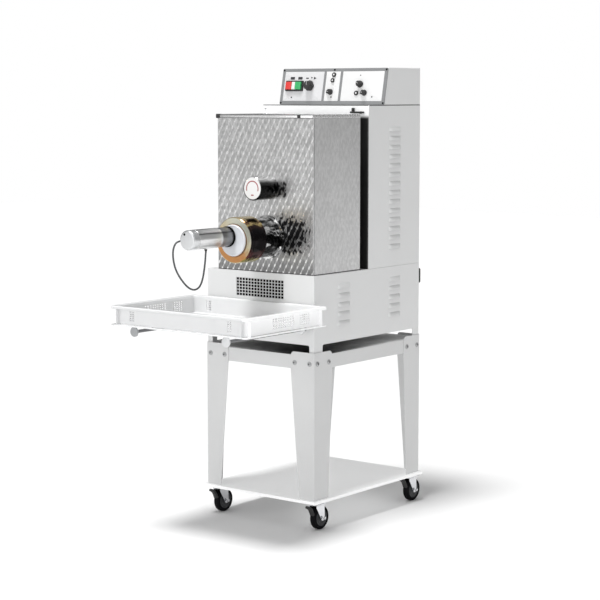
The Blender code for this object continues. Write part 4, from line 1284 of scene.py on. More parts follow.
class BuildCastors(bpy.types.Operator):
    """Makes the tyres, hubs, axle nuts, ball races and brake pedals."""

    bl_idname = "extruder.castors"
    bl_label = "Castors"

    def execute(self, context):
        tyre = ((0.0284, 0.0112), (0.0360, 0.0118), (0.0400, 0.0080), (0.0400, -0.0080), (0.0360, -0.0118))
        tyre = eased(tyre + ((0.0284, -0.0112),), 0.0030, 4, closed=True)
        half = ((0.0042, 0.0120), (0.0092, 0.0120), (0.0102, 0.0092), (0.0168, 0.0084), (0.0176, 0.0098))
        half += ((0.0208, 0.0098), (0.0216, 0.0084), (0.0276, 0.0090), (0.0287, 0.0108))
        hub = np.array(half + tuple((radius, -height) for radius, height in reversed(half)))
        for corner in CORNERS:
            node = f"castor_wheel_{corner}"
            centre = sum(span(node)) / 2
            wheel = Place(centre, (0, 1, 0))
            shape = Shape().add(lathe(tyre, 56), wheel, round_rows=True)
            shape.add(lathe(eased(hub, 0.0006, 2, closed=True), 40), wheel, round_rows=True, tint=1)
            shape.make(f"wheel_{corner}_tyre", BODY[node], ("tyre_rubber", "hub_plastic"), "tyre", (node,))
            self.fork(corner, centre)
            self.pedal(corner)
        return {"FINISHED"}

    def fork(self, corner, centre):
        """The pressed fork, its axle nuts, and the ball race on top, which stands on the swivel's axis."""
        node = f"castor_fork_{corner}"
        low, high = span(node)
        dress(node, "zinc")
        nut = ((0, -0.0004), (0.0058, -0.0004), (0.0058, 0.0022), (0.0050, 0.0030), (0.0032, 0.0030))
        nut += ((0.0028, 0.0042), (0, 0.0042))
        shape = Shape()
        for x, right in ((low[0], (0, -1, 0)), (high[0], (0, 1, 0))):
            shape.add(lathe(nut, 6), Place((x, *centre[1:]), right))
        shape.make(f"axle_nuts_{corner}", BODY[node], "zinc", "zinc", smooth=20)
        race = ((0.0150, -0.0072), (0.0205, -0.0072), (0.0238, -0.0048), (0.0238, -0.0022), (0.0215, 0.0))
        race = lathe(eased(race + ((0.0150, 0.0),), 0.0012, closed=True), 40)
        place = above((low[0] + high[0]) / 2, pivot(node)[1], high[2])
        shape = Shape().add(race, place, round_rows=True)
        shape.make(f"ball_race_{corner}", BODY[node], "zinc", "zinc")

    def pedal(self, corner):
        """A slim lever that leans up and away from the tyre's front. Its path is a row of shares of the
        pedal's box in depth and height, and its section a rounded bar."""
        node = f"brake_pedal_{corner}"
        low, high = span(node)
        lean = ((0.5, 0.95, 0.10), (0.5, 0.80, 0.40), (0.5, 0.62, 0.68), (0.5, 0.38, 0.86), (0.5, 0.14, 0.95))
        path = low + np.array(lean) * (high - low)
        lever = sweep(path, corners(0.0090, high[0] - low[0], 0.0030), up=(1, 0, 0))
        shape = Shape().add(capped(lever))
        shape.make(f"pedal_lever_{corner}", BODY[node], "black_plastic", "black_plastic", (node,))


# Cabinet


def louvres(name, place_at, centres, settings):
    """Pressed louvres. Each is a scoop whose height over the sheet falls off as a power of the distance from
    its middle along it, and as a quarter cosine from its open foot to its top. The slot under it is a dark sheet
    of painted shade."""
    across = np.sin(np.linspace(-math.pi / 2, math.pi / 2, 19))
    rise = np.linspace(0, 1, 7)
    along, up = np.meshgrid(across, rise)
    tall = settings.louvre_pitch * 0.50
    swell = (1 - np.abs(along) ** 7) * np.cos(up * math.pi / 2) ** 0.85
    half, deep = settings.louvre_length / 2, settings.louvre_depth
    scoop = np.stack([along * half, (up - 0.5) * tall, swell * deep], -1)
    lip = scoop[0]
    under = lip - (0, 0, 0.0007) * (lip[:, 2:] > 0.001)
    foot = np.stack([lip * (1, 1, 0) - (0, 0, SKIN), lip * (1, 1, 0.35), under])
    edge = np.stack([foot[-1], lip])
    shape = Shape()
    for centre in centres:
        place = place_at(*centre)
        shape.add(scoop, place, round_columns=False)
        # The foot is a dark sheet, painted shade in the slot
        shape.add(foot, place, round_columns=False, tint=1)
        shape.add(edge, place, round_columns=False)
    finishes = ("white_enamel", "shadow_black")
    return shape.make(name, "machine", finishes, "white_paint", closed=False, smooth=50)


# The louvres' lowest level on the column and the base, and their places in depth from the stand's middle
COLUMN_LOUVRE_Z, COLUMN_LOUVRE_Y = 0.928, 0.1525
BASE_LOUVRE_Z, BASE_LOUVRE_Y = 0.690, (-0.1405, 0.1535)


class BuildCabinet(bpy.types.Operator):
    """Makes the base, column and rear cover, their louvres and screws, and the rear terminal box."""

    bl_idname = "extruder.cabinet"
    bl_label = "Cabinet"

    def execute(self, context):
        sheet = context.scene.extruder_sheet
        folded("base_housing", "white_enamel")
        face = COLUMN_LOW[1] + 0.001
        # Faces that look to the front take the finish with painted shade and glow
        folded(
            "column_housing",
            ("white_enamel", "column_front_painted_shade_and_glow"),
            choose=lambda centre, normal: int(normal.y < -0.9 and centre.y < face),
        )
        folded("rear_cover", "white_enamel", fold=0.0009, smallest=0.0015)
        for name, place_at, face in (("right", right_side, BASE_HIGH[0]), ("left", left_side, BASE_LOW[0])):
            levels = COLUMN_LOUVRE_Z + sheet.louvre_pitch * np.arange(sheet.column_louvres)
            column = [(MIDDLE_Y + COLUMN_LOUVRE_Y, z, face) for z in levels]
            louvres(f"column_louvres_{name}", place_at, column, sheet)
            levels = BASE_LOUVRE_Z + sheet.louvre_pitch * np.arange(sheet.base_louvres)
            base = [(MIDDLE_Y + y, z, face) for y in BASE_LOUVRE_Y for z in levels]
            louvres(f"base_louvres_{name}", place_at, base, sheet)
        self.rear()
        self.seams()
        # Two screws, one above the other, at the top left of the column's front
        spots = [front(COLUMN_LOW[0] + 0.012, z, COLUMN_LOW[1]) for z in (1.3835, 1.4010)]
        screws("column_screws", spots, 0.0040, 0.0022, "zinc", "zinc")
        return {"FINISHED"}

    def seams(self):
        """Dark strips of painted shade along the joints, on three sides of the column's top edge and of the
        hopper's foot.
        """
        shape = Shape()
        for low, high, level, short in (
            (COLUMN_LOW, COLUMN_HIGH, COLUMN_HIGH[2] - 0.0010, 0.004),
            (HOPPER_LOW, HOPPER_HIGH, HOPPER_LOW[2] + 0.0018, 0.003),
        ):
            middle = (low + high) / 2
            wide, deep = (high - low)[:2] - short
            for place, length in (
                (front(middle[0], level, low[1]), wide),
                (right_side(middle[1], level, high[0]), deep),
                (left_side(middle[1], level, low[0]), deep),
            ):
                shape.add(plate(length, 0.0024, 0.0004, 0.0006, 0.0002, low=-SKIN), place)
        shape.make("housing_shadow_lines", "machine", "seam_rubber", "black_plastic")

    def rear(self):
        """Screws down both edges of the rear cover, and the terminal box with its gland."""
        low, high = span("rear_cover")
        inset = 0.010
        across = (low[0] + inset, high[0] - inset)
        spots = [rear(x, z, high[1]) for x in across for z in np.linspace(low[2] + inset, high[2] - inset, 5)]
        screws("cover_screws", spots, 0.0042, 0.0022, "zinc", "zinc")
        folded("rear_terminal_box", "black_plastic", fold=0.0020, smallest=0.004)
        low, high = span("rear_terminal_box")
        across, levels = (low[0] + 0.007, high[0] - 0.007), (high[2] - 0.007, high[2] - 0.045)
        spots = [rear(x, z, high[1]) for x in across for z in levels]
        screws("terminal_screws", spots, 0.0026, 0.0014, "zinc", "zinc")
        gland = ((0.0030, 0.0), (0.0078, 0.0), (0.0078, 0.0060), (0.0068, 0.0072), (0.0058, 0.0150))
        gland = lathe(eased(gland + ((0.0030, 0.0150),), 0.0007, 2, closed=True), 6)
        middle = (low + high) / 2
        place = Place((middle[0], middle[1], low[2] + 0.0145), (1, 0, 0), (0, -1, 0))
        shape = Shape().add(gland, place, round_rows=True)
        shape.make("terminal_gland", "machine", "black_plastic", "black_plastic", smooth=25)


class BuildGrille(bpy.types.Operator):
    """Finishes the grille and the blower, and fits a dark pleated sheet behind the bars as painted shade in the
    openings.
    """

    bl_idname = "extruder.grille"
    bl_label = "Grille"

    def execute(self, context):
        dress("front_grille", "grille_enamel")
        dress("blower_wheel", "cap_aluminium")
        dress("blower_scroll", "shadow_black")
        width, height = (GRILLE_HIGH - GRILLE_LOW)[[0, 2]] + 0.006
        x, z = np.meshgrid(np.linspace(-width / 2, width / 2, 121), np.linspace(-height / 2, height / 2, 9))
        pleat = 0.0006 * np.sin(x * 2 * math.pi / 0.0064)
        face, back = np.stack([x, z, pleat], -1), np.stack([x, z, pleat - 0.0012], -1)
        middle = ((GRILLE_LOW + GRILLE_HIGH) / 2)[[0, 2]]
        place = front(*middle, GRILLE_HIGH[1] + 0.0016)
        shape = Shape().add(face, place, round_columns=False).add(back[:, ::-1], place, round_columns=False)
        shape.make("grille_shade_backing", "machine", "shadow_black", "black_plastic", closed=False)
        return {"FINISHED"}


# Console


# Places on the control panel, from the console's middle and its foot. Left edge, right edge and finish of
# each plate; x, width and height of each printed window and bar; x, height and radius of each printed dot;
# x, height and radius of each round holder; and x and height of the small screws
PANELS = ((-0.2140, -0.0405, 0), (-0.0300, 0.0310, 1), (0.0420, 0.2180, 1))
WINDOWS = ((-0.179, 0.019, 0.0095), (-0.1447, 0.019, 0.0095), (-0.113, 0.012, 0.0040))
DOTS = ((-0.094, 0.0965, 0.0028), (0.0035, 0.0700, 0.0010), (0.1180, 0.1035, 0.0022))
HOLDERS = ((0.004, 0.106, 0.0082), (0.0, 0.086, 0.0078), (0.1085, 0.041, 0.0084))
SMALL_SCREWS = ((-0.1755, 0.0260), (0.0005, 0.0270), (0.176, 0.028))
# The level of the signs, and of the switch and its selector
SIGN_LEVEL, SWITCH_LEVEL = 0.0945, 0.0665
# Knobs: node, x, height, radius, how tall, lobes, the pointer's angle and how far it reaches
KNOBS = (
    ("mode_selector", -0.0985, SWITCH_LEVEL, 0.0178, 0.022, 6, math.radians(90), 0.16),
    ("speed_knob", -0.0045, 0.0450, 0.0100, 0.014, 0, math.radians(185), 0.75),
    ("timer_knob", 0.1210, 0.0725, 0.0120, 0.016, 3, math.radians(150), 0.35),
    ("blower_knob", 0.1425, 0.0420, 0.0100, 0.014, 0, math.radians(185), 0.75),
)


def knob(radius, height, lobes, pointer, reach):
    """A moulded knob. Its radius swells a little at each lobe, and near the skirt it runs out to a point at
    the pointer's angle as a bell curve."""
    profile = ((0, 0), (1.0, 0), (1.0, 0.22), (0.84, 0.34), (0.80, 0.94), (0.70, 1.0), (0, 1.0))
    profile = eased(profile, 0.06, 2)
    angles = np.linspace(0, 2 * math.pi, 72, endpoint=False)
    swell = 1 + 0.055 * np.cos(lobes * angles)
    off = (angles - pointer + math.pi) % (2 * math.pi) - math.pi
    point = reach * np.exp(-((off / 0.30) ** 2))
    rim, lift = profile[:, :1], profile[:, 1:]
    spread = rim * (swell + point * np.clip(1.25 - lift, 0, 1)) * radius
    return np.stack([spread * np.cos(angles), spread * np.sin(angles), lift * height + 0 * angles], -1)


class BuildConsole(bpy.types.Operator):
    """Makes the console, its three panels, their screws and their printed marks."""

    bl_idname = "extruder.console"
    bl_label = "Console"

    def execute(self, context):
        folded("console_housing", "white_enamel")
        folded("console_fascia", "grey_enamel", fold=0.0006, smallest=0.0015)
        shape = Shape()
        for left, right, tint in PANELS:
            panel = plate(right - left, 0.104, 0.0015, 0.0006, 0.0003, ((left + right) / 2, 0.0655), -SKIN)
            shape.add(panel, on_fascia(), tint=tint)
        shape.make("fascia_panels", "machine", ("panel_grey", "panel_white"), "white_plastic")
        foot, top = 0.0065, 0.1235
        ends = (CONSOLE_LOW[0] + 0.006, CONSOLE_HIGH[0] - 0.006)
        spots = [on_fascia(x, height) for x in ends for height in (foot, top)] + [on_fascia(0.003, top)]
        screws("fascia_screws", spots, 0.0036, 0.0014, "shadow_black", "black_plastic")
        spots = [on_fascia(x, height, 0.0006) for x, height in SMALL_SCREWS]
        screws("panel_screws", spots, 0.0027, 0.0012, "dark_print", "black_plastic")
        self.marks()
        return {"FINISHED"}

    def marks(self):
        """Printed signs over the switch and the selector: two windows, a bar, a pointer, and a few dots."""
        shape = Shape()
        place = on_fascia(0, 0, 0.0004)
        thick = 0.00035
        for x, width, height in WINDOWS:
            shape.add(plate(width, height, 0.0012, thick, 0.0001, (x, SIGN_LEVEL)), place)
        for x, height, radius in DOTS:
            shape.add(plate(2 * radius, 2 * radius, radius * 0.98, thick, 0.0001, (x, height)), place)
        arrow = np.array(((-0.0045, -0.0040), (0.0045, 0.0), (-0.0045, 0.0040)))
        arrow = np.column_stack([arrow * 1.3 + (-0.0785, SIGN_LEVEL), np.zeros(3)])
        shape.add(capped(np.stack([arrow, arrow + (0, 0, thick)])), place)
        shape.make("fascia_marks", "machine", "dark_print", "black_plastic")


class BuildControls(bpy.types.Operator):
    """Makes the switch with its buttons and lamp, the selector, the three knobs and the fuse holders."""

    bl_idname = "extruder.controls"
    bl_label = "Controls"

    def execute(self, context):
        folded("switch_frame", "black_plastic", fold=0.0008, smallest=0.0012)
        for node, x, colour in (
            ("stop_button", -0.187, "red_plastic"),
            ("start_button", -0.145, "green_plastic"),
        ):
            cap = plate(0.0250, 0.0270, 0.0020, 0.0065, 0.0014)
            cap[..., 2] -= 0.0012 * (cap[..., 2] > 0.004) * np.exp(-((cap[..., 1] / 0.006) ** 2))
            shape = Shape().add(cap, on_fascia(x, SWITCH_LEVEL, 0.0058))
            shape.make(f"{node}_cap", BODY[node], colour, colour, (node,))
        lamp = plate(0.0150, 0.0270, 0.0015, 0.0088, 0.0020)
        shape = Shape().add(lamp, on_fascia(-0.1660, SWITCH_LEVEL, 0.0024))
        shape.make("switch_lamp", "machine", "lamp_plastic", "white_plastic")
        finishes = ("black_plastic", "knob_white")
        for node, x, height, radius, tall, lobes, pointer, reach in KNOBS:
            shape = Shape().add(knob(radius, tall, lobes, pointer, reach), on_fascia(x, height, 0.0007))
            line = plate(radius * 0.70, 0.0012, 0.0004, 0.0003, 0.0001, (radius * 0.36, 0), tall - 0.0001)
            turn = np.array(((math.cos(pointer), math.sin(pointer)), (-math.sin(pointer), math.cos(pointer))))
            line[..., :2] = line[..., :2] @ turn
            shape.add(line, on_fascia(x, height, 0.0007), tint=1)
            shape.make(f"{node}_cap", BODY[node], finishes, "black_plastic", (node,), smooth=50)
        self.holders()
        return {"FINISHED"}

    def holders(self):
        """Three round holders: a black ring round a pale lens."""
        shape = Shape()
        for x, height, radius in HOLDERS:
            bore, place = radius * 0.45, on_fascia(x, height, 0.0003)
            ring = ((bore, 0), (radius, 0), (radius, 0.0035), (radius * 0.80, 0.0050), (bore, 0.0046))
            shape.add(lathe(eased(ring, 0.0006, 2, closed=True), 32), place, round_rows=True)
            lens = ((0, 0), (radius * 0.5, 0), (radius * 0.5, 0.0030), (radius * 0.3, 0.0042), (0, 0.0046))
            shape.add(lathe(eased(lens, 0.0005, 2), 24), place, tint=1)
        shape.make("panel_holders", "machine", ("black_plastic", "knob_white"), "black_plastic")


# Hopper


class BuildHopper(bpy.types.Operator):
    """Makes the pearled housing with its corner seam, and finishes the bowl and the drive inside it."""

    bl_idname = "extruder.hopper"
    bl_label = "Hopper"

    def execute(self, context):
        low, high = HOPPER_LOW, HOPPER_HIGH

        def choose(centre, normal):
            if centre.y < low[1] + 0.0018 and normal.y < -0.5:
                return 0
            outer = centre.x < low[0] + 0.001 or centre.x > high[0] - 0.001 or centre.y > high[1] - 0.001
            return 1 if outer else 2

        finishes = ("pearl_front", "pearl_side", "inner_steel")
        folded("hopper_housing", finishes, choose=choose, fold=0.0022)
        seam = plate(0.0012, high[2] - low[2] - 0.004, 0.0003, 0.0005, 0.0002)
        y, z = low[1] + 0.0042, (low[2] + high[2]) / 2
        shape = Shape().add(seam, right_side(y, z, high[0] - SKIN))
        shape.add(seam, left_side(y, z, low[0] + SKIN))
        shape.make("hopper_seams", "machine", "dark_print", "black_plastic")
        for node in ("mixing_bowl", "auger", "mixing_paddle"):
            dress(node, "inner_steel")
        for node in ("auger_gear", "paddle_gear", "gearbox", "drive_motor"):
            dress(node, "cast_iron")
        return {"FINISHED"}


class BuildLid(bpy.types.Operator):
    """Makes the lid, its front strip, corner cap, catch and hinges, and the lid's safety switch."""

    bl_idname = "extruder.lid"
    bl_label = "Lid"

    def execute(self, context):
        body = BODY["lid"]
        folded("lid", ("bright_steel", "inner_steel"), body, fold=0.0016, choose=self.side)
        width, height = LID_HIGH[0] - LID_LOW[0], LID_HIGH[2] - LID_LOW[2]
        middle, level = (LID_LOW[0] + LID_HIGH[0]) / 2, (LID_LOW[2] + LID_HIGH[2]) / 2
        place = front(middle, level, LID_LOW[1])
        rim = plate(width - 0.002, height - 0.0004, 0.0006, 0.0006, 0.0002, low=-SKIN)
        strip = plate(width - 0.006, height - 0.0036, 0.0008, 0.0010, 0.0003, (-0.0002, 0), -SKIN)
        shape = Shape().add(rim, place).add(strip, place, tint=1)
        shape.make("lid_strip", body, ("dark_print", "bright_steel"), "stainless")
        edge = soft_edge(-0.0100, 0.0030, 0.0012)
        corner = slab(0.0150, 0.0145, 0.0030, edge, (-width / 2 + 0.0020, -0.0004))
        catch = plate(0.0120, 0.0086, 0.0012, 0.0030, 0.0008, (0.164 - middle, 0.0))
        shape = Shape().add(corner, place).add(catch, place)
        shape.make("lid_cap_and_catch", body, "black_plastic", "black_plastic")
        self.hinges()
        folded("lid_switch", "black_plastic", fold=0.0010, smallest=0.002)
        roller = eased(((0, -0.004), (0.0042, -0.004), (0.0042, 0.004), (0, 0.004)), 0.0008, 2)
        low, high = span("lid_switch")
        place = right_side(low[1] + 0.0005, high[2] - 0.0155, high[0] - 0.007)
        shape = Shape().add(lathe(roller, 20), place)
        shape.make("switch_roller", "machine", "black_plastic", "black_plastic")
        return {"FINISHED"}

    def side(self, centre, normal):
        """1 for the lid's underside, which is dull, and 0 for its bright skin."""
        return int(centre.z < LID_HIGH[2] - 0.0015 and abs(normal.z) > 0.5)

    def hinges(self):
        """Two knuckle hinges on the lid's axis. The outer knuckles are fixed and the middle one turns."""
        pin = pivot("lid")
        knuckle = eased(((0, -0.0095), (0.0046, -0.0095), (0.0046, 0.0095), (0, 0.0095)), 0.0008, 2)
        fixed, turning = Shape(), Shape()
        for x in (LID_LOW[0] + 0.070, LID_HIGH[0] - 0.070):
            for shape, shift in ((fixed, -0.0200), (turning, 0.0), (fixed, 0.0200)):
                shape.add(lathe(knuckle, 24), Place((x + shift, pin[1], pin[2]), (0, 1, 0)))
        fixed.make("hinge_knuckles_fixed", "machine", "stainless", "stainless")
        turning.make("hinge_knuckles_lid", BODY["lid"], "stainless", "stainless")


# Extruder head


class BuildHead(bpy.types.Operator):
    """Makes the barrel's collar, the ring nut, the cutter disc, and finishes the die and the blade."""

    bl_idname = "extruder.head"
    bl_label = "Extruder head"

    def execute(self, context):
        edge = context.scene.extruder_head.edge
        place = front(NUT_X, NUT_Z)
        start = MIDDLE_Y - HOPPER_LOW[1]
        back, tip = MIDDLE_Y - NUT_HIGH[1], MIDDLE_Y - NUT_LOW[1]
        collar = (
            (0.0652, start + PROUD),
            (0.0724, start + PROUD),
            (0.0724, start + 0.0062),
            (0.0664, start + 0.0078),
            (0.0664, start + 0.0300),
            (0.0652, start + 0.0312),
            (0.0664, start + 0.0324),
            (0.0664, back - 0.0006),
            (0.0652, back - PROUD),
        )
        shape = Shape().add(lathe(eased(collar, 0.0009, closed=True), 72), place, round_rows=True)
        shape.make("barrel_collar", "machine", "barrel_steel", "stainless")
        dress("extruder_barrel", "barrel_steel")
        radius, mouth, bore = (NUT_HIGH[0] - NUT_LOW[0]) / 2, 0.0535, 0.0604
        flank = ((bore, back), (radius - 0.003, back), (radius, back + 0.003), (radius, back + 0.009))
        flank += ((radius - 0.0012, back + 0.0105), (radius, back + 0.0120), (radius, tip - 0.0150))
        flank += ((radius - 0.0012, tip - 0.0135), (radius, tip - 0.0120))
        flank += ((radius, tip - 0.003), (radius - 0.003, tip))
        face = ((radius - 0.003, tip), (mouth + 0.0015, tip), (mouth, tip - 0.0015), (mouth, tip - 0.0044))
        face += ((bore, tip - 0.0044), (bore, back))
        shape = Shape().add(lathe(eased(flank, edge), 80), place).add(lathe(face, 80), place, tint=1)
        shape.make("ring_nut_turned", BODY["ring_nut"], ("nut_side", "nut_face"), "brass", ("ring_nut",))
        dress("die", "bronze")
        dress("cutter_blade", "stainless")
        node = "cutter_disc"
        low, high = span(node)
        back, tip, radius = MIDDLE_Y - high[1], MIDDLE_Y - low[1], (high[0] - low[0]) / 2
        disc = ((0, back), (radius, back), (radius, tip - 0.0020), (radius - 0.0025, tip))
        disc += ((radius - 0.0050, tip), (radius - 0.0062, tip - 0.0006), (0, tip - 0.0006))
        shape = Shape().add(lathe(eased(disc, 0.0010), 72), place)
        shape.make(f"{node}_moulded", BODY[node], "disc_plastic", "white_plastic", (node,))
        return {"FINISHED"}


class BuildCutterMotor(bpy.types.Operator):
    """Makes the cutter motor's tube, its gasket and its cap."""

    bl_idname = "extruder.cutter_motor"
    bl_label = "Cutter motor"

    def execute(self, context):
        place = front(TUBE_X, TUBE_Z)
        back, tip = MIDDLE_Y - MOTOR_HIGH[1], MIDDLE_Y - MOTOR_LOW[1]
        joint, radius = back + TUBE_NECK, TUBE_R
        tube = ((0, back + 0.0060), (radius - 0.0006, back + 0.0060), (radius - 0.0006, joint))
        tube += ((radius - 0.0016, joint + 0.0006), (radius, joint + 0.0014), (radius, tip - 0.0008))
        tube += ((radius - 0.0010, tip), (0, tip))
        shape = Shape().add(lathe(eased(tube, 0.0006, 2), 72), place)
        wide, deep = radius + 0.0016, 0.0062
        gasket = eased(((0, back), (wide, back), (wide, back + deep), (0, back + deep)), 0.0008)
        shape.add(lathe(gasket, 64), place, tint=1)
        finishes = ("tube_aluminium", "shadow_black")
        shape.make("cutter_motor_tube", BODY["cutter_motor"], finishes, "aluminium", ("cutter_motor",))
        node = "cutter_motor_cap"
        start, end = tip + PROUD, MIDDLE_Y - span(node)[0][1]
        cap = ((0, start), (radius - 0.0012, start), (radius, start + 0.0010), (radius, end - 0.0045))
        cap += ((radius - 0.0038, end), (0, end))
        shape = Shape().add(lathe(eased(cap, 0.0030, 5), 72), place)
        low, high = end - 0.0010, end + 0.0003
        plug = eased(((0, low), (0.0040, low), (0.0040, high), (0, high)), 0.0003, 2)
        shape.add(lathe(plug, 24), front(TUBE_X - 0.0105, TUBE_Z + 0.0185), tint=1)
        finishes = ("cap_aluminium", "shadow_black")
        shape.make("cutter_motor_end_cap", BODY[node], finishes, "aluminium", (node,))
        return {"FINISHED"}


class BuildLockKnob(bpy.types.Operator):
    """Makes the paddle's lock knob with its white face and turning mark."""

    bl_idname = "extruder.lock_knob"
    bl_label = "Paddle lock knob"

    def execute(self, context):
        node = "paddle_lock_knob"
        place = front(KNOB_X, KNOB_Z)
        back, tip = MIDDLE_Y - HOPPER_LOW[1] + PROUD, MIDDLE_Y - KNOB_LOW[1]
        radius = (KNOB_HIGH[0] - KNOB_LOW[0]) / 2
        flank = ((0, back - 0.0020), (0.012, back - 0.0020), (0.012, back), (radius - 0.004, back))
        flank += ((radius, back + 0.004), (radius, tip - 0.0030), (radius - 0.0022, tip))
        flank += ((radius - 0.0034, tip), (radius - 0.0040, tip - 0.0008), (radius - 0.0044, tip - 0.0008))
        shape = Shape().add(lathe(eased(flank, 0.0009), 72), place)
        face = ((radius - 0.0044, tip - 0.0008), (radius * 0.5, tip - 0.0003), (0, tip - 0.0002))
        shape.add(lathe(face, 72), place, tint=1)
        shape.make("lock_knob_turned", BODY[node], ("chrome", "knob_white"), "stainless", (node,))
        bend, count = 0.0245, 60
        angles = np.radians(np.linspace(-18, 198, count))
        path = np.stack([bend * np.cos(angles), bend * np.sin(angles), np.full(count, tip - 0.0003)], -1)
        half, thin = 0.0015, 0.0004
        section = np.array(((-half, -thin), (half, -thin), (half, thin), (-half, thin)))
        bar = plate(0.0110, 0.0036, 0.0012, 0.0007, 0.0002, (0, -0.0215), tip - 0.0006)
        shape = Shape().add(capped(sweep(path, section)), place).add(bar, place)
        shape.make("lock_knob_mark", BODY[node], "red_print", "red_plastic")
        return {"FINISHED"}


# Tray


def tray_loop(width, depth, radius, counts, bend=6):
    """Core points and outward normals round a rectangle with round corners: along a side the core point
    moves and the normal holds, and at a corner the core point holds and the normal turns. counts are the
    steps along a wide and along a deep side."""
    half = np.array((width / 2 - radius, depth / 2 - radius))
    signs = np.array(((1, 1), (-1, 1), (-1, -1), (1, -1)))
    cores, normals = [], []
    for number in range(4):
        start, end = signs[number] * half, signs[(number + 1) % 4] * half
        turn = np.radians(90 * number + np.linspace(0, 90, bend + 1))
        cores.append(np.broadcast_to(start, (bend + 1, 2)))
        normals.append(np.stack([np.cos(turn), np.sin(turn)], -1))
        along = np.linspace(0, 1, counts[number % 2] + 1)[1:-1, None]
        cores.append(start + (end - start) * along)
        normals.append(np.broadcast_to(normals[-1][-1], (len(along), 2)))
    return np.concatenate(cores), np.concatenate(normals)


# Groups of slots: the walls that have the group, its middle along them and half its length
SLOT_GROUPS = (
    ("side", 0.112, 0.026),
    ("side", -0.004, 0.056),
    ("end", -0.2165, 0.011),
    ("end", 0.2165, 0.011),
)


class BuildTray(bpy.types.Operator):
    """Moulds the catch tray: floor, slotted walls, rim and foot flanges, and ribs near its corners."""

    bl_idname = "extruder.tray"
    bl_label = "Catch tray"

    def execute(self, context):
        tray = context.scene.extruder_tray
        self.size = TRAY_HIGH - TRAY_LOW
        self.place = above(*((TRAY_LOW + TRAY_HIGH) / 2)[:2], 0.0)
        self.radius, self.inset = 0.010, 0.0152
        self.counts = [round(side / tray.cell) for side in self.size[:2]]
        self.core, self.normal = tray_loop(self.size[0], self.size[1], self.radius, self.counts)
        self.shell(tray)
        self.flange()
        self.ribs(tray)
        return {"FINISHED"}

    def rings(self, levels):
        """A ring of the loop for each (inset, height), with corners that stay round further in."""
        made = []
        for inset, height in levels:
            radius = max(self.radius - inset, 0.006)
            core, normal = tray_loop(*(self.size[:2] - 2 * inset), radius, self.counts)
            made.append(np.column_stack([core + normal * radius, np.full(len(core), height)]))
        return np.array(made)

    def shell(self, tray):
        """Floor, wall and rim as one sheet, thickened after the slots are taken out."""
        half, wall = tray.wall / 2, self.inset + tray.wall / 2
        low, high = TRAY_LOW[2] + 0.0030 + half, TRAY_HIGH[2] - half
        rows = np.linspace(low + 0.006, high - 0.004, 15)
        levels = [(wall + 0.0040, low), (wall + 0.0012, low + 0.0012), (wall, low + 0.0035)]
        levels += [(wall, height) for height in rows]
        levels += [(wall - 0.0008, high - 0.0012), (wall - 0.0028, high), (half + 0.0016, high)]
        levels += [(half, high - 0.0014), (half, high - tray.lip)]
        grid = self.rings(levels)
        middle = np.broadcast_to((0.0, 0.0, low), grid[:1].shape)
        grid = np.concatenate([middle, grid])
        node = "catch_tray"
        shape = Shape().add(grid, self.place, keep=~self.slots(grid, tray.cell))
        body = BODY[node]
        made = shape.make("tray_moulding", body, "milky_plastic", "white_plastic", (node,), closed=False)
        thick = made.modifiers.new("wall", "SOLIDIFY")
        thick.thickness, thick.offset = tray.wall, 0.0

    def slots(self, grid, cell):
        """Which quads are open: every other row of the middle heights, and two steps of three along the wall,
        within the groups that each wall has."""
        height = (grid[:-1, :, 2] + grid[1:, :, 2]) / 2
        row = np.arange(len(height))[:, None] % 2 == 0
        band = row & (height > TRAY_LOW[2] + 0.018) & (height < TRAY_HIGH[2] - 0.011)
        between = (self.core + np.roll(self.core, -1, 0)) / 2
        on_side = np.abs(self.normal[:, 0]) > 0.999
        on_end = np.abs(self.normal[:, 1]) > 0.999
        run = np.where(on_side, between[:, 1], between[:, 0])
        still = np.linalg.norm(self.core - np.roll(self.core, -1, 0), axis=1) > 0.001
        phase = np.floor(run / cell).astype(int) % 3 != 0
        groups = np.zeros(len(run), bool)
        for wall, centre, reach in SLOT_GROUPS:
            groups |= (on_side if wall == "side" else on_end) & (np.abs(run - centre) < reach)
        return band & (groups & phase & still)[None, :]

    def flange(self):
        """The flange round the tray's foot, a closed ring with soft outer edges."""
        low, high, wide = TRAY_LOW[2], TRAY_LOW[2] + 0.0030, 0.0165
        ring = eased(((wide, low), (0.0, low), (0.0, high), (wide, high)), 0.0008, 3, closed=True)
        shape = Shape().add(self.rings(ring), self.place, round_rows=True)
        shape.make("tray_foot", BODY["catch_tray"], "milky_plastic", "white_plastic")

    def ribs(self, tray):
        """Thin upright ribs between the two flanges, two on each wall, near the corners."""
        low, high = TRAY_LOW[2] + 0.0024, TRAY_HIGH[2] - 0.0020
        shape = Shape()
        reach = self.inset - 0.0025
        blade = slab(tray.rib, high - low, 0.0005, soft_edge(-0.0006, reach, 0.0004, 2), steps=1)
        middle = self.place.origin
        for axis in (0, 1):
            half = self.size[axis] / 2 - 0.026
            for along in (-half, half):
                for side in (-1, 1):
                    normal, spot = np.zeros(3), np.zeros(3)
                    normal[1 - axis] = side
                    spot[axis], spot[2] = along, (low + high) / 2
                    spot[1 - axis] = side * (self.size[1 - axis] / 2 - self.inset)
                    shape.add(blade, Place(middle + spot, np.cross((0, 0, 1), normal)))
        shape.make("tray_ribs", BODY["catch_tray"], "milky_plastic", "white_plastic")


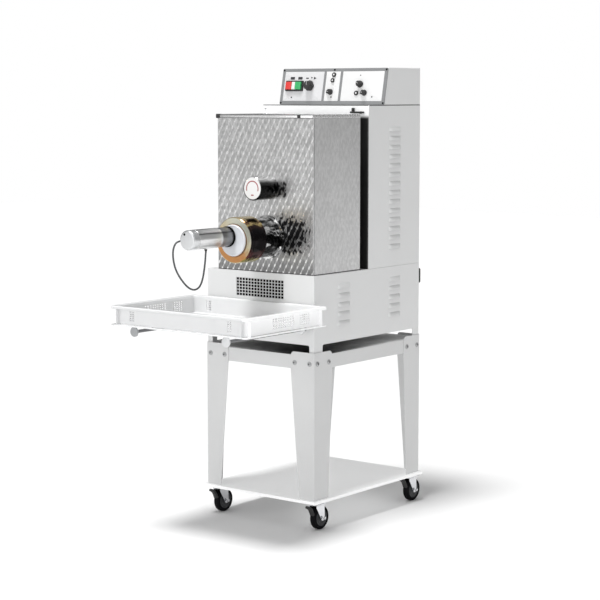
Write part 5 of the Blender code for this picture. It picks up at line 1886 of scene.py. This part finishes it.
class BuildRods(bpy.types.Operator):
    """Turns the tray's two support rods with their end discs."""

    bl_idname = "extruder.rods"
    bl_label = "Tray rods"

    def execute(self, context):
        for side, end_finish in (("left", "disc_steel"), ("right", "cap_aluminium")):
            node = f"tray_rod_{side}"
            low, high = span(node)
            radius, rod = (high[0] - low[0]) / 2, 0.0055
            place = front((low[0] + high[0]) / 2, (low[2] + high[2]) / 2)
            root, tip = MIDDLE_Y - high[1], MIDDLE_Y - low[1]
            shaft = ((0, root), (rod, root), (rod, tip - 0.0050), (0, tip - 0.0050))
            shape = Shape().add(lathe(eased(shaft, 0.0004, 1), 28), place)
            # A collar in front of the cabinet, and the disc on the end
            for start, end in ((0.330, 0.336), (tip - 0.006, tip)):
                disc = ((0, start), (radius, start), (radius, end - 0.0012), (radius - 0.0012, end), (0, end))
                shape.add(lathe(eased(disc, 0.0009), 44), place, tint=1)
            shape.make(f"{node}_turned", BODY[node], ("rod_steel", end_finish), "stainless", (node,))
        return {"FINISHED"}


OPERATORS = (
    BuildStage,
    BuildLead,
    BuildStand,
    BuildCastors,
    BuildCabinet,
    BuildGrille,
    BuildConsole,
    BuildControls,
    BuildHopper,
    BuildLid,
    BuildHead,
    BuildCutterMotor,
    BuildLockKnob,
    BuildTray,
    BuildRods,
)


class ExtruderPanel(bpy.types.Panel):
    """Lists the pieces that can be built, and their settings."""

    bl_idname = "VIEW3D_PT_extruder"
    bl_label = "Dough extruder"
    bl_space_type = "VIEW_3D"
    bl_region_type = "UI"
    bl_category = "Extruder"

    def draw(self, context):
        for operator in OPERATORS:
            self.layout.operator(operator.bl_idname)
        for name, group in SETTINGS.items():
            box = self.layout.box()
            box.label(text=group.__name__)
            for key in group.__annotations__:
                box.prop(getattr(context.scene, name), key)


CLASSES = (*SETTINGS.values(), *OPERATORS, ExtruderPanel)


def register():
    for each in CLASSES:
        bpy.utils.register_class(each)
    for name, group in SETTINGS.items():
        setattr(bpy.types.Scene, name, PointerProperty(type=group))


def unregister():
    for name in SETTINGS:
        delattr(bpy.types.Scene, name)
    for each in reversed(CLASSES):
        bpy.utils.unregister_class(each)


def main():
    """Builds every piece."""
    register()
    for operator in OPERATORS:
        group, name = operator.bl_idname.split(".")
        getattr(getattr(bpy.ops, group), name)()


if __name__ == "__main__":
    main()
